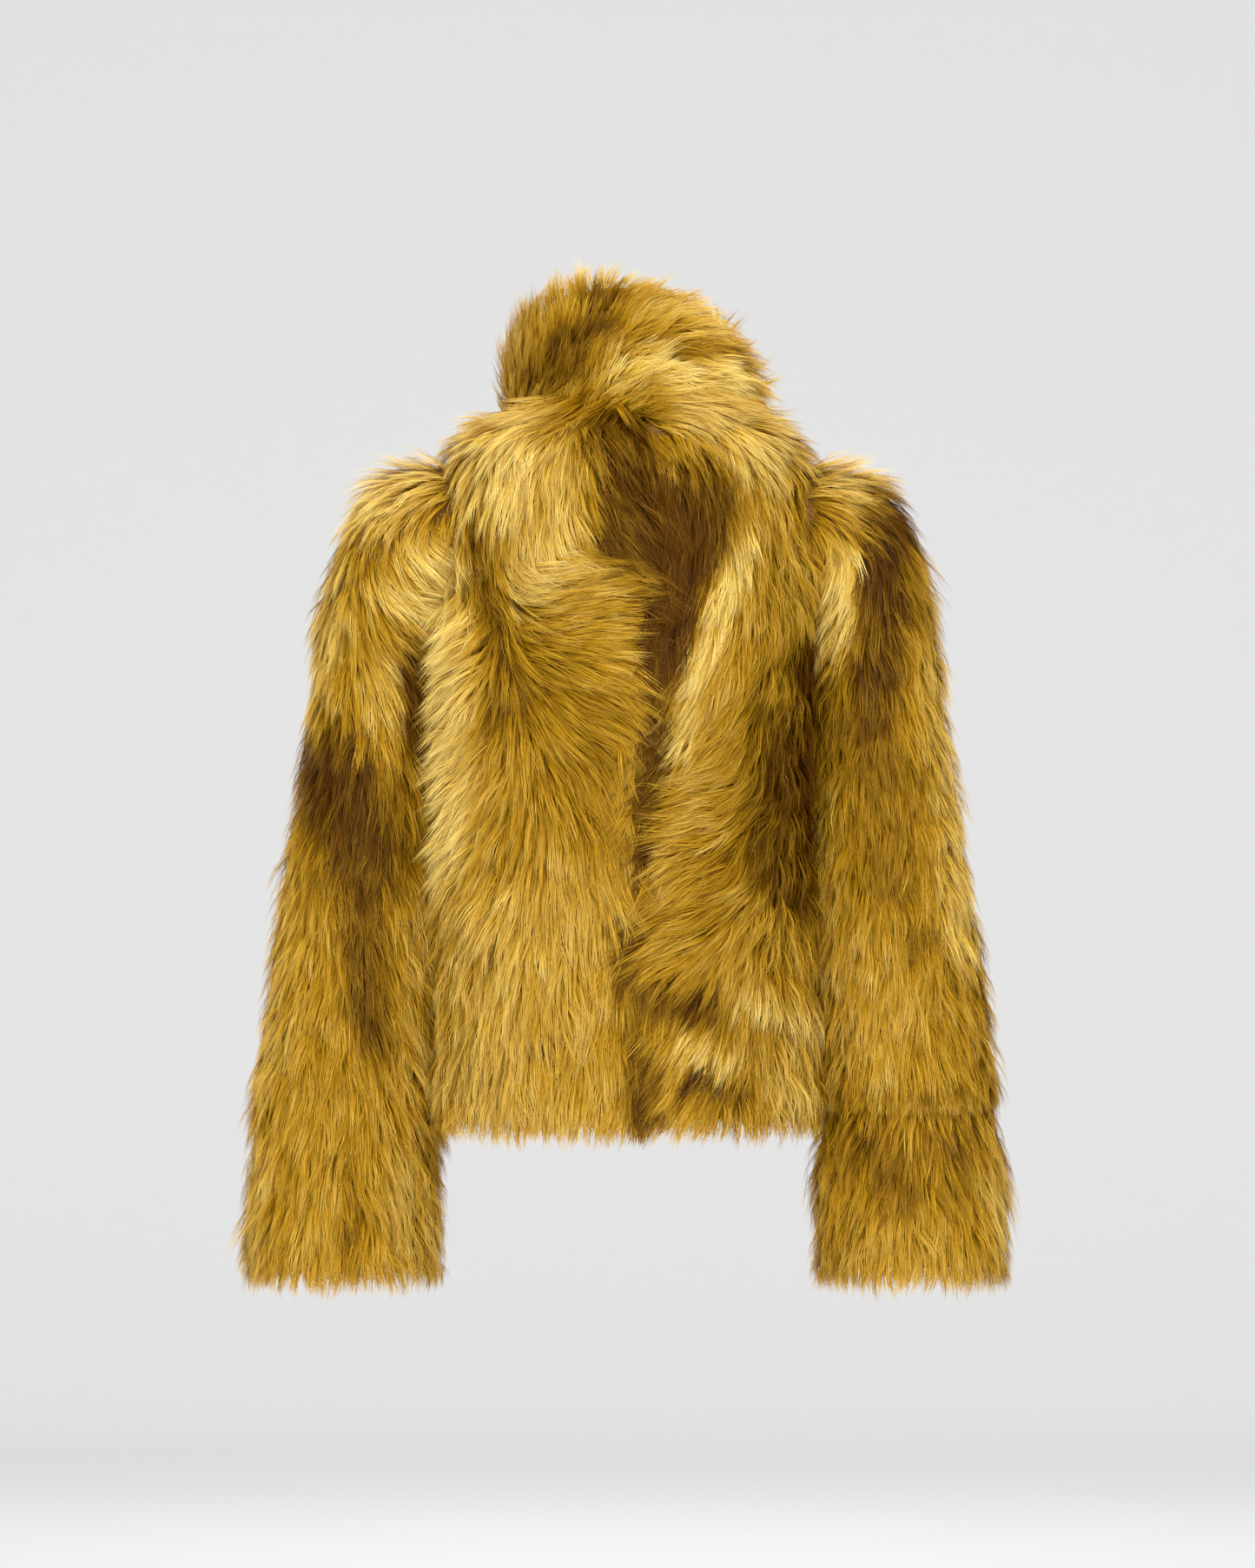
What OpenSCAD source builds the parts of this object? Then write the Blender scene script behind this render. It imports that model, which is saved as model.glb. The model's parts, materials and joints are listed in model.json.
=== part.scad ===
// Cropped long-pile fur jacket with a standing collar and set-in two-piece sleeves.
// Millimetres, +Z up. The front faces -Y, the back faces +Y and the wearer's left is +X.
// The origin is the centre of the neck seam, level with the seam at the centre back.
// Each fur panel is one closed solid that holds the pelt and the pile that stands on it.

/* [Body] */
// Length of the back from the neck seam to the hem
back_length = 560; // [500:5:680]
// Width of the body at the chest, over the fur
body_width = 290; // [240:2:350]
// Depth of the body at the chest, over the fur
body_depth = 256; // [220:4:310]
// Width of the neck seam, over the fur
neck_width = 176; // [166:2:200]
// Depth of the neck seam, over the fur
neck_depth = 144; // [134:2:174]
// How far the front neck seam lies below the back neck seam
neck_drop = 28; // [10:1:40]

/* [Sleeves] */
// Length of the sleeve from the top of its head to the cuff
sleeve_length = 648; // [520:4:780]
// Radius of the round sleeve head, over the fur
head_r = 62; // [52:1:75]
// Depth of the centre of the sleeve head below the neck seam
head_drop = 96; // [90:1:112]
// Width of the upper sleeve, over the fur
upper_sleeve_w = 100; // [92:1:120]
// Width of the sleeve at the elbow, over the fur
elbow_w = 122; // [110:1:146]
// Width of the sleeve at the cuff, over the fur
cuff_w = 147; // [124:1:176]
// Height of the lower fur band above the cuff edge
cuff_band_h = 136; // [100:2:170]

/* [Collar] */
// Height of the collar at the centre back
collar_height = 98; // [70:2:120]
// Height of the collar at its front ends
collar_front_height = 64; // [50:2:100]
// Width of the collar at its base, over the fur
collar_base_w = 204; // [200:2:240]
// How far each side of the collar leans in from its base to its top edge
collar_taper = 22; // [6:1:30]

/* [Layers] */
// Thickness of a body panel, pelt and pile together
fur = 20; // [14:1:24]
// Thickness of a sleeve panel, pelt and pile together
sleeve_fur = 14; // [10:1:18]
// Thickness of the collar's outer wall, pelt and pile together
collar_wall = 18; // [12:1:20]
// Thickness of a lining
lining = 1.6; // [1:0.1:3]
// Thickness of a pelt facing
facing = 1.8; // [1:0.1:3]
// Thickness of a stay tape
tape = 1.2; // [0.8:0.1:2]
// Thickness of a shoulder pad
pad = 8; // [4:1:12]
// Thickness of the roll under the sleeve head
head_roll = 4; // [2:0.5:6]
// Height of the facing that is turned up inside a hem or cuff
turn_up = 38; // [24:1:60]

/* [Closure] */
// Number of hook and eye pairs below the collar
closures = 4; // [2:1:6]
// Diameter of the closure wire
wire_d = 2.2; // [1.4:0.1:3]

/* [Clearances] */
// Gap at a seam between neighbouring panels
seam_gap = 0.6; // [0.4:0.1:2]
// Gap between layers that lie on each other
layer_gap = 1.6; // [1.4:0.1:4]
// Gap between the sleeve head and the armhole
armhole_gap = 0.8; // [0.5:0.1:3]
// Gap between the body and a hanging sleeve
side_gap = 2.4; // [1:0.1:6]

/* [Hidden] */

fur_colour = "#b8892a";
pelt_colour = "#c9a878";
lining_colour = "#7a5a26";
tape_colour = "#e4dccb";
metal_colour = "#8a7f6c";

half_w = body_width / 2;
half_d = body_depth / 2;

// Angles around the body: 0 is the wearer's left, 90 the centre back, -90 the centre front.
back_seam_u = 49;
front_fold_u = -40;
centre_back_u = 90;
centre_front_u = -90;
u_step = 9;

// Layers, each the distance of its outer face inside the fur's outer surface.
facing_d = fur + layer_gap;
lining_d = facing_d + facing + layer_gap;
shoulder_lining_d = facing_d + pad + layer_gap;
neck_facing_d = shoulder_lining_d + lining + layer_gap;

// Levels down the body: 0 is the neck seam, 2 the shoulder point, 5 the chest and 9 the hem.
hem_level = 9;
chest_level = 5;
yoke_level = 4.2;
chest_z = -200;

function mix(a, b, t) = a + (b - a) * t;
function steps(low, high, n) = [for (i = [0:n]) mix(low, high, i / n)];
function count_of(low, high, step) = max(2, ceil((high - low) / step));
function down(level) = mix(chest_z, -back_length, (level - chest_level) / (hem_level - chest_level));

// The body's outline at a level: half width, depth to the back and depth to the front.
function body_a(v) = lookup(v, [
    [0, neck_width / 2], [1, mix(neck_width / 2, half_w, 0.52)], [2, mix(neck_width / 2, half_w, 0.93)],
    [3, half_w + 1], [4, half_w], [5, half_w - 1.5], [6, half_w - 3], [7, half_w - 2],
    [8, half_w + 2], [9, half_w + 5]]);
function body_back(v) = lookup(v, [
    [0, neck_depth / 2], [1, mix(neck_depth / 2, half_d, 0.35)], [2, mix(neck_depth / 2, half_d, 0.62)],
    [3, mix(neck_depth / 2, half_d, 0.86)], [4, half_d * 0.98], [5, half_d], [6, half_d * 0.97],
    [7, half_d * 0.96], [8, half_d * 0.98], [9, half_d]]);
function body_front(v) = lookup(v, [
    [0, neck_depth / 2], [1, mix(neck_depth / 2, half_d, 0.34)], [2, mix(neck_depth / 2, half_d, 0.62)],
    [3, mix(neck_depth / 2, half_d, 0.84)], [4, half_d * 0.97], [5, half_d], [9, half_d]]);

// Height of a level at the centre back, the side and the centre front.
function back_z(v) = v > chest_level ? down(v)
    : lookup(v, [[0, 0], [1, -14], [2, -36], [3, -75], [4, -130], [5, chest_z]]);
function side_z(v) = v > chest_level ? down(v)
    : lookup(v, [[0, -2], [1, -8], [2, -27], [3, -66], [4, -128], [5, chest_z]]);
function front_z(v) = v > chest_level ? down(v)
    : lookup(v, [[0, -neck_drop], [1, -neck_drop - 18], [2, -neck_drop - 42], [3, -neck_drop - 70],
                 [4, -neck_drop - 108], [5, chest_z]]);
// How far a level's surface faces upwards, from 0 for a wall to 1 for a floor.
function rise(v) = lookup(v, [[0, 0.8], [1, 0.8], [2, 0.62], [3, 0.3], [4, 0], [9, 0]]);

round_power = 0.84;
function signed_power(x, p) = x < 0 ? -pow(-x, p) : pow(x, p);
function around(u, a, b) = [a * signed_power(cos(u), round_power), b * signed_power(sin(u), round_power)];
function level_z(u, v) =
    mix(side_z(v), sin(u) > 0 ? back_z(v) : front_z(v), pow(sin(u), 2));

// A point of the body, d inside the fur's outer surface.
function body_point(u, v, d) =
    let (k = rise(v), inset = d * sqrt(1 - k * k),
         p = around(u, body_a(v) - inset, (sin(u) > 0 ? body_back(v) : body_front(v)) - inset))
    [p[0], p[1], level_z(u, v) - d * k];

// The left sleeve, as rings from its head to its cuff.
shoulder_x = half_w + 17;
arm_level_z = -head_drop - head_r - 8;
cuff_z = head_r - head_drop - sleeve_length;
elbow_z = mix(arm_level_z, cuff_z, 0.4);
band_z = cuff_z + cuff_band_h;
head_rings = 4;
function body_side(z) =
    lookup(-z, [[0, half_w], [-chest_z, half_w], [-down(7), half_w], [-down(9), half_w + 5]]);
function on_head(angle) = [shoulder_x + head_r * cos(angle), -head_drop + head_r * sin(angle)];
function sleeve_w(z) = lookup(-z, [
    [-arm_level_z, upper_sleeve_w - 4], [-arm_level_z + 50, upper_sleeve_w], [-elbow_z, elbow_w],
    [-mix(elbow_z, cuff_z, 0.5), mix(elbow_w, cuff_w, 0.68)], [-cuff_z, cuff_w]]);
function sleeve_depth(z) = lookup(-z, [
    [-arm_level_z, head_r - 7], [-elbow_z, elbow_w / 2 - 1], [-cuff_z, cuff_w / 2 - 2]]);
function hanging_ring(z) =
    let (inner = body_side(z) + side_gap) [[inner + sleeve_w(z), z], [inner, z], sleeve_depth(z)];
function head_ring(k) = [
    [on_head(111), on_head(258), head_r - 3],
    [on_head(68), on_head(256), head_r - 2],
    [on_head(31), [half_w + side_gap, -head_drop - head_r - 1], head_r - 4],
    [[shoulder_x + head_r + 6, -head_drop - 12],
     [half_w + side_gap, -head_drop - head_r - 4], head_r - 6]][k];
function blend_ring(r, s, t) = [mix(r[0], s[0], t), mix(r[1], s[1], t), mix(r[2], s[2], t)];
// Ring t: 0 to 4 is the head, 4 to 7 the upper sleeve, 7 to 9 the lower sleeve, 9 to 10 the cuff band.
function tube_z(t) = t < 7 ? mix(arm_level_z, elbow_z, (t - 4) / 3)
    : t < 9 ? mix(elbow_z, band_z, (t - 7) / 2) : mix(band_z, cuff_z, t - 9);
function sleeve_ring(t) =
    t >= head_rings ? hanging_ring(tube_z(t))
    : t > head_rings - 1 ? blend_ring(head_ring(3), hanging_ring(arm_level_z), t - 3)
    : let (k = floor(t), f = t - k) f == 0 ? head_ring(k) : blend_ring(head_ring(k), head_ring(k + 1), f);
function sleeve_point(u, t, d) =
    let (r = sleeve_ring(t), middle = (r[0] + r[1]) / 2, across = (r[0] - r[1]) / 2, w = norm(across),
         p = middle + across / w * (w - d) * cos(u))
    [p[0], (r[2] - d) * sin(u), p[1]];

// The collar, as rings from its base, 0, to its top edge, 1.
collar_lift = 1.6;
collar_facing_d = collar_wall + layer_gap;
collar_stay_d = collar_facing_d + facing + layer_gap;
function collar_a(s) = lookup(s, [
    [0, collar_base_w / 2], [0.35, collar_base_w / 2 - 1], [1, collar_base_w / 2 - collar_taper]]);
function collar_b(s) = lookup(s, [
    [0, neck_depth / 2 + 9], [0.35, neck_depth / 2 + 11], [1, neck_depth / 2 + 3]]);
function collar_height_at(u) =
    let (side = mix(collar_front_height, collar_height, 0.2))
    mix(side, sin(u) > 0 ? collar_height : collar_front_height, pow(sin(u), 2));
function collar_point(u, s, d) =
    let (p = around(u, collar_a(s) - d, collar_b(s) - d))
    [p[0], p[1], level_z(u, 0) + collar_lift + s * collar_height_at(u)];

// A closed solid between two grids of points, n cells along u by m cells down.
module skin(outer, inner, n, m) {
    row = n + 1;
    half = row * (m + 1);
    function at(side, i, j) = side * half + j * row + i;
    faces = concat(
        [for (j = [0:m - 1]) for (i = [0:n - 1]) each
            [[at(0, i, j), at(0, i + 1, j), at(0, i + 1, j + 1)],
             [at(0, i, j), at(0, i + 1, j + 1), at(0, i, j + 1)],
             [at(1, i, j), at(1, i + 1, j + 1), at(1, i + 1, j)],
             [at(1, i, j), at(1, i, j + 1), at(1, i + 1, j + 1)]]],
        [for (i = [0:n - 1]) each
            [[at(0, i, 0), at(1, i, 0), at(1, i + 1, 0)], [at(0, i, 0), at(1, i + 1, 0), at(0, i + 1, 0)],
             [at(0, i, m), at(0, i + 1, m), at(1, i + 1, m)], [at(0, i, m), at(1, i + 1, m), at(1, i, m)]]],
        [for (j = [0:m - 1]) each
            [[at(0, 0, j), at(0, 0, j + 1), at(1, 0, j + 1)], [at(0, 0, j), at(1, 0, j + 1), at(1, 0, j)],
             [at(0, n, j), at(1, n, j + 1), at(0, n, j + 1)], [at(0, n, j), at(1, n, j), at(1, n, j + 1)]]]);
    polyhedron(points = concat(outer, inner), faces = faces, convexity = 6);
}

// A patch of the body from u0 to u1 and from level v0 to v1, lying d deep and thick thick.
module body_patch(u0, u1, levels, d, thick) {
    n = count_of(u0, u1, u_step);
    us = steps(u0, u1, n);
    outer = [for (v = levels) for (u = us) body_point(u, v, d)];
    inner = [for (v = levels) for (u = us) body_point(u, v, d + thick)];
    skin(outer, inner, n, len(levels) - 1);
}

// A patch of the body's lining, which hangs deeper under the shoulders to clear the pads.
module lining_patch(u0, u1, levels) {
    function depth(v) = lookup(v, [[2.2, shoulder_lining_d], [3.2, lining_d]]);
    n = count_of(u0, u1, u_step);
    us = steps(u0, u1, n);
    outer = [for (v = levels) for (u = us) body_point(u, v, depth(v))];
    inner = [for (v = levels) for (u = us) body_point(u, v, depth(v) + lining)];
    skin(outer, inner, n, len(levels) - 1);
}

// A patch of the left sleeve, d deep and thick thick, between the rings of a list.
module sleeve_patch(u0, u1, rings, d, thick) {
    n = count_of(u0, u1, 2 * u_step);
    us = steps(u0, u1, n);
    outer = [for (t = rings) for (u = us) sleeve_point(u, t, d)];
    inner = [for (t = rings) for (u = us) sleeve_point(u, t, d + thick)];
    skin(outer, inner, n, len(rings) - 1);
}

// A patch of the collar, d deep and thick thick, from height s0 to s1.
module collar_patch(u0, u1, s0, s1, d, thick) {
    n = count_of(u0, u1, u_step);
    us = steps(u0, u1, n);
    heights = steps(s1, s0, 3);
    outer = [for (s = heights) for (u = us) collar_point(u, s, d)];
    inner = [for (s = heights) for (u = us) collar_point(u, s, d + thick)];
    skin(outer, inner, n, 3);
}

// The round space that the left sleeve head turns in.
module armhole(r = head_r + armhole_gap) {
    translate([shoulder_x, 0, -head_drop]) sphere(r = r, $fn = 64);
}

all_levels = [0, 1, 2, 3, 4, 5, 6.5, 8, 9];
// Angles that leave a seam gap at the centre lines and at the other seams.
half_gap_u = asin(pow(seam_gap / 2 / half_w, 1 / round_power));
centre_u = 90 - half_gap_u;
seam_u = seam_gap / half_w * 180 / PI;

module right() { mirror([1, 0, 0]) children(); }

module back_panel_left() {
    color(fur_colour) body_patch(back_seam_u + seam_u, centre_u, all_levels, 0, fur);
}
module back_panel_right() { right() back_panel_left(); }

module side_back_left() {
    color(fur_colour) difference() {
        body_patch(half_gap_u, back_seam_u, all_levels, 0, fur);
        armhole();
    }
}
module side_back_right() { right() side_back_left(); }

module side_front_left() {
    color(fur_colour) difference() {
        body_patch(front_fold_u, -half_gap_u, all_levels, 0, fur);
        armhole();
    }
}
module side_front_right() { right() side_front_left(); }

module front_yoke_left() {
    color(fur_colour)
        body_patch(-centre_u, front_fold_u - seam_u, [0, 1, 2, 3, yoke_level], 0, fur);
}
module front_yoke_right() { right() front_yoke_left(); }

// Tape behind the centre back seam, where the two back pelts meet.
module centre_back_tape() {
    color(tape_colour) body_patch(88, 92, [0.4, 1, 2, 3, 4, 5, 6.5, 8, 8.3], facing_d - layer_gap / 2, tape);
}

module back_neck_facing() {
    color(pelt_colour) body_patch(56, 124, [0.3, 1, 1.6], neck_facing_d, facing);
}

// Linings stop short of the neck seam and lap over the facings.
lining_levels = [0.3, 1, 2.2, 3.2, 4, 5, 6.5, 8, 8.7];
module back_lining() {
    color(lining_colour)
        lining_patch(back_seam_u + seam_u, 180 - back_seam_u - seam_u, lining_levels);
}
module side_lining_left() {
    color(lining_colour) difference() {
        lining_patch(front_fold_u, back_seam_u, lining_levels);
        armhole();
    }
}
module side_lining_right() { right() side_lining_left(); }

module yoke_lining_left() {
    color(lining_colour)
        lining_patch(-centre_u + 4, front_fold_u - seam_u, [0.3, 1, 2.2, 3.2, yoke_level]);
}
module yoke_lining_right() { right() yoke_lining_left(); }

// Level that lies turn_up above the hem.
turn_level = hem_level - (hem_level - chest_level) * turn_up / (back_length + chest_z);
facing_levels = [yoke_level + 0.06, 5, 6.5, turn_level - 0.1];
hem_levels = [turn_level, (turn_level + hem_level) / 2, hem_level];
module hem_facing_back() {
    color(pelt_colour)
        body_patch(back_seam_u + seam_u, 180 - back_seam_u - seam_u, hem_levels, facing_d, facing);
}
module hem_facing_left() {
    color(pelt_colour) body_patch(front_fold_u, back_seam_u, hem_levels, facing_d, facing);
}
module hem_facing_right() { right() hem_facing_left(); }

module shoulder_pad_left() {
    color(tape_colour) difference() {
        body_patch(-34, 34, [0.9, 1.5, 2.1], facing_d - layer_gap / 2, pad);
        armhole(head_r + armhole_gap + 1);
    }
}
module shoulder_pad_right() { right() shoulder_pad_left(); }

// A ribbon loop that hangs inside the back neck seam.
loop_w = 64;
loop_h = 15;
loop_wall = 4;
loop_thick = 1.6;
loop_gap = 0.4;
// The loop is flat and the stay tape behind it is round, so the loop's ends set its place.
function depth_at(x, a, b) = b * pow(sin(acos(pow(x / a, 1 / round_power))), round_power);
loop_y = depth_at(loop_w / 2, collar_a(0) - collar_stay_d - tape, collar_b(0) - collar_stay_d - tape)
    - loop_gap - loop_thick / 2;
loop_z = collar_lift + 4;
module hanger_loop() {
    color(lining_colour) translate([0, loop_y, loop_z]) rotate([90, 0, 0])
        linear_extrude(height = loop_thick, center = true) difference() {
            translate([-loop_w / 2, -loop_h]) square([loop_w, loop_h]);
            translate([-loop_w / 2 + loop_wall, -loop_h + loop_wall])
                square([loop_w - 2 * loop_wall, loop_h - 1.5 * loop_wall]);
        }
}

// The parts of the left front that swing open below the yoke.
front_levels = [yoke_level + 0.03, 5, 6.5, 8, 9];
front_u = front_fold_u - 2 * seam_u;
facing_u = -74;
module front_panel_left() { color(fur_colour) body_patch(-centre_u, front_u, front_levels, 0, fur); }
module front_panel_right() { right() front_panel_left(); }

module front_facing_left() {
    color(pelt_colour)
        body_patch(-centre_u, facing_u - seam_u, facing_levels, facing_d, facing);
}
module front_facing_right() { right() front_facing_left(); }

module front_lining_left() {
    color(lining_colour)
        body_patch(facing_u + 2, front_u - 0.4, [yoke_level + 0.06, 5, 6.5, 8, 8.7], lining_d, lining);
}
module front_lining_right() { right() front_lining_left(); }

module front_hem_facing_left() {
    color(pelt_colour) body_patch(-centre_u, front_u - 0.4, hem_levels, facing_d, facing);
}
module front_hem_facing_right() { right() front_hem_facing_left(); }

// Hooks and eyes lie unfastened behind the front edges.
ring_r = 4.5;
wire_y = -half_d + facing_d + facing + layer_gap + wire_d / 2;
closure_top_z = chest_z - 10;
closure_pitch = 90;
function closure_z(i) = closure_top_z - i * closure_pitch * (back_length / 560);
module wire_ring() {
    rotate([90, 0, 0]) rotate_extrude($fn = 32) translate([ring_r, 0]) circle(d = wire_d, $fn = 16);
}
closure_x = ring_r + wire_d / 2 + 1.2;
module closure_eyes() {
    color(metal_colour) for (i = [0:closures - 1]) translate([closure_x, wire_y, closure_z(i)]) wire_ring();
}
module closure_hooks() {
    color(metal_colour) for (i = [0:closures - 1]) translate([-closure_x, wire_y, closure_z(i)]) {
        wire_ring();
        translate([-ring_r, 0, 0]) rotate([0, -90, 0]) cylinder(h = 9, d = wire_d, $fn = 16);
    }
}

collar_seam_u = 30;
module collar_back() {
    color(fur_colour)
        collar_patch(collar_seam_u + seam_u, 180 - collar_seam_u - seam_u, 0, 1, 0, collar_wall);
}
module collar_left() { color(fur_colour) collar_patch(-centre_u, collar_seam_u, 0, 1, 0, collar_wall); }
module collar_right() { right() collar_left(); }
module collar_facing() {
    color(pelt_colour) collar_patch(-centre_u, 180 + centre_u, 0.03, 0.97, collar_facing_d, facing);
}
// Stay tape around the inside of the neck seam.
module collar_stay() {
    color(tape_colour) collar_patch(2 - centre_u, 178 + centre_u, 0.03, 0.16, collar_stay_d, tape);
}

// Sleeves: the front seam is at -90 and the back seam at 90.
joint_gap_t = 0.006;
upper_rings = [0, 1, 2, 3, 4, 5.5, 7 - joint_gap_t];
lower_rings = [7 + joint_gap_t, 8, 9 - joint_gap_t];
band_rings = [9 + joint_gap_t, 9.5, 10];
seam_angle = 90 - seam_u;
sleeve_lining_d = sleeve_fur + layer_gap;
cuff_turn_t = 10 - turn_up / cuff_band_h;
module upper_sleeve_outer_left() {
    color(fur_colour) sleeve_patch(-seam_angle, seam_angle, upper_rings, 0, sleeve_fur);
}
module upper_sleeve_under_left() { color(fur_colour) sleeve_patch(90, 270, upper_rings, 0, sleeve_fur); }
module upper_sleeve_lining_left() {
    color(lining_colour)
        sleeve_patch(-178, 178, [1.3, 2, 3, 4, 5.5, 7 - joint_gap_t], sleeve_lining_d, lining);
}
module lower_sleeve_outer_left() {
    color(fur_colour) sleeve_patch(-seam_angle, seam_angle, lower_rings, 0, sleeve_fur);
}
module lower_sleeve_under_left() { color(fur_colour) sleeve_patch(90, 270, lower_rings, 0, sleeve_fur); }
module lower_sleeve_lining_left() {
    color(lining_colour)
        sleeve_patch(-178, 178, [7 + joint_gap_t, 8, 9, cuff_turn_t - joint_gap_t], sleeve_lining_d, lining);
}
// The lower fur band is set on in a ring, and is open at the under seam.
module cuff_band_left() { color(fur_colour) sleeve_patch(-179.5, 179.5, band_rings, 0, sleeve_fur); }
module cuff_facing_left() {
    color(pelt_colour)
        sleeve_patch(-179, 179, [cuff_turn_t, (cuff_turn_t + 10) / 2, 10], sleeve_lining_d, facing);
}
// A soft roll under the top of the sleeve head.
module sleeve_head_roll_left() {
    color(tape_colour) sleeve_patch(-50, 50, [0.3, 0.7, 1.1], sleeve_lining_d, head_roll);
}

module upper_sleeve_outer_right() { right() upper_sleeve_outer_left(); }
module upper_sleeve_under_right() { right() upper_sleeve_under_left(); }
module upper_sleeve_lining_right() { right() upper_sleeve_lining_left(); }
module lower_sleeve_outer_right() { right() lower_sleeve_outer_left(); }
module lower_sleeve_under_right() { right() lower_sleeve_under_left(); }
module lower_sleeve_lining_right() { right() lower_sleeve_lining_left(); }
module cuff_band_right() { right() cuff_band_left(); }
module cuff_facing_right() { right() cuff_facing_left(); }
module sleeve_head_roll_right() { right() sleeve_head_roll_left(); }

back_panel_left();
back_panel_right();
side_back_left();
side_back_right();
side_front_left();
side_front_right();
front_yoke_left();
front_yoke_right();
centre_back_tape();
back_neck_facing();
back_lining();
side_lining_left();
side_lining_right();
yoke_lining_left();
yoke_lining_right();
hem_facing_back();
hem_facing_left();
hem_facing_right();
shoulder_pad_left();
shoulder_pad_right();
hanger_loop();
front_panel_left();
front_panel_right();
front_facing_left();
front_facing_right();
front_lining_left();
front_lining_right();
front_hem_facing_left();
front_hem_facing_right();
closure_eyes();
closure_hooks();
collar_back();
collar_left();
collar_right();
collar_facing();
collar_stay();
upper_sleeve_outer_left();
upper_sleeve_under_left();
upper_sleeve_lining_left();
lower_sleeve_outer_left();
lower_sleeve_under_left();
lower_sleeve_lining_left();
cuff_band_left();
cuff_facing_left();
sleeve_head_roll_left();
upper_sleeve_outer_right();
upper_sleeve_under_right();
upper_sleeve_lining_right();
lower_sleeve_outer_right();
lower_sleeve_under_right();
lower_sleeve_lining_right();
cuff_band_right();
cuff_facing_right();
sleeve_head_roll_right();
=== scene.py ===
"""A cropped long-pile fur jacket, built around its CAD frame.

Metres, +Z up. The front faces -Y, the back faces +Y and the wearer's left is +X.
"""

import json
import math
from dataclasses import dataclass, replace

import bpy
import numpy as np
from bpy.props import FloatProperty, IntProperty, PointerProperty, StringProperty
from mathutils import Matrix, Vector

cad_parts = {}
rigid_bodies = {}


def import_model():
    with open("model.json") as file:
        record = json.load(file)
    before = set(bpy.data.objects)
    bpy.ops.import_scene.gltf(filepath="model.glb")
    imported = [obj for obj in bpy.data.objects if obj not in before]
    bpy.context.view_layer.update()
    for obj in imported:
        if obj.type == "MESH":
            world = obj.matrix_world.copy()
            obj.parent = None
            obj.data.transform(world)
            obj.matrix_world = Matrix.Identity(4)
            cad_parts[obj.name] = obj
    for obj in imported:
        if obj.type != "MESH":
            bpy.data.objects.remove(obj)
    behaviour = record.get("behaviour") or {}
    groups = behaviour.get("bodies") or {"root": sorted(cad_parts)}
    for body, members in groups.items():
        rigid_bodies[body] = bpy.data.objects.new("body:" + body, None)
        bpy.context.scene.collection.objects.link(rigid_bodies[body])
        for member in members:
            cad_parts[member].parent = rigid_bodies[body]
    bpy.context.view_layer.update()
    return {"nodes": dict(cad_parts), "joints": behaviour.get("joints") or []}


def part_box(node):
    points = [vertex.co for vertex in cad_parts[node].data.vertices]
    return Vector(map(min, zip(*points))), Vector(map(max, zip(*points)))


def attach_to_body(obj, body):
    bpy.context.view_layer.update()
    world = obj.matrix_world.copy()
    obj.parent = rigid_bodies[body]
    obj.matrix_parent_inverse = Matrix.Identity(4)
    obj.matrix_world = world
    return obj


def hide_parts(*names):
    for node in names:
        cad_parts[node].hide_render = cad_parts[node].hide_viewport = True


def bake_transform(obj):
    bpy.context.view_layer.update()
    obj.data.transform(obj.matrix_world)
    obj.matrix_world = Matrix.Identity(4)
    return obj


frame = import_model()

bl_info = {
    "name": "Long-pile fur jacket",
    "version": (1, 0, 0),
    "blender": (4, 5, 0),
    "location": "3D View > Sidebar > Jacket",
    "description": "Builds a cropped fur jacket with a standing collar around its frame",
    "category": "Object",
}

MM = 0.001
SEED = 11
SIDES = {"left": 1, "right": -1}

# ---------------------------------------------------------------- sizes read from the frame


def joint_place(name):
    return Vector(next(j for j in frame["joints"] if j["name"] == name)["pos_m"])


SHOULDER = joint_place("sleeve_left_raise")
ELBOW = joint_place("elbow_left_bend")
FOLD = joint_place("front_left_open")
HEM_FLARE = 5 * MM
HALF_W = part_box("side_back_left")[1].x - HEM_FLARE
HALF_D = -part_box("front_panel_left")[0].y
HEM_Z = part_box("back_panel_left")[0].z
CUFF_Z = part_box("cuff_band_left")[0].z
BAND_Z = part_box("cuff_band_left")[1].z
CUFF_OUT_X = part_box("cuff_band_left")[1].x
COLLAR_TOP_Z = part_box("collar_back")[1].z
COLLAR_HALF_W = 102 * MM
COLLAR_TAPER = 22 * MM
COLLAR_FRONT_H = 64 * MM
NECK_HALF_W = 88 * MM
NECK_HALF_D = 72 * MM
NECK_DROP = 28 * MM
HEAD_R = 62 * MM
SLEEVE_GAP = 2.4 * MM
CHEST_Z = -200 * MM
FLARE_Z = CHEST_Z - 180 * MM
BODY_WALL = 20 * MM
SLEEVE_WALL = 14 * MM
COLLAR_WALL = 18 * MM
ARM_LEVEL_Z = SHOULDER.z - HEAD_R - 8 * MM


# ---------------------------------------------------------------- smooth curves and ripples


def smooth(x, table):
    """Reads a table of (x, y) pairs along a smooth curve through them."""
    xs, ys = np.array(table, float).T
    slope = np.gradient(ys, xs)
    x = np.clip(np.asarray(x, float), xs[0], xs[-1])
    i = np.clip(np.searchsorted(xs, x, side="right") - 1, 0, len(xs) - 2)
    h = xs[i + 1] - xs[i]
    t = (x - xs[i]) / h
    return (
        ys[i] * (1 + 2 * t) * (1 - t) ** 2
        + ys[i + 1] * t * t * (3 - 2 * t)
        + h * (slope[i] * t * (1 - t) ** 2 - slope[i + 1] * t * t * (1 - t))
    )


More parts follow.
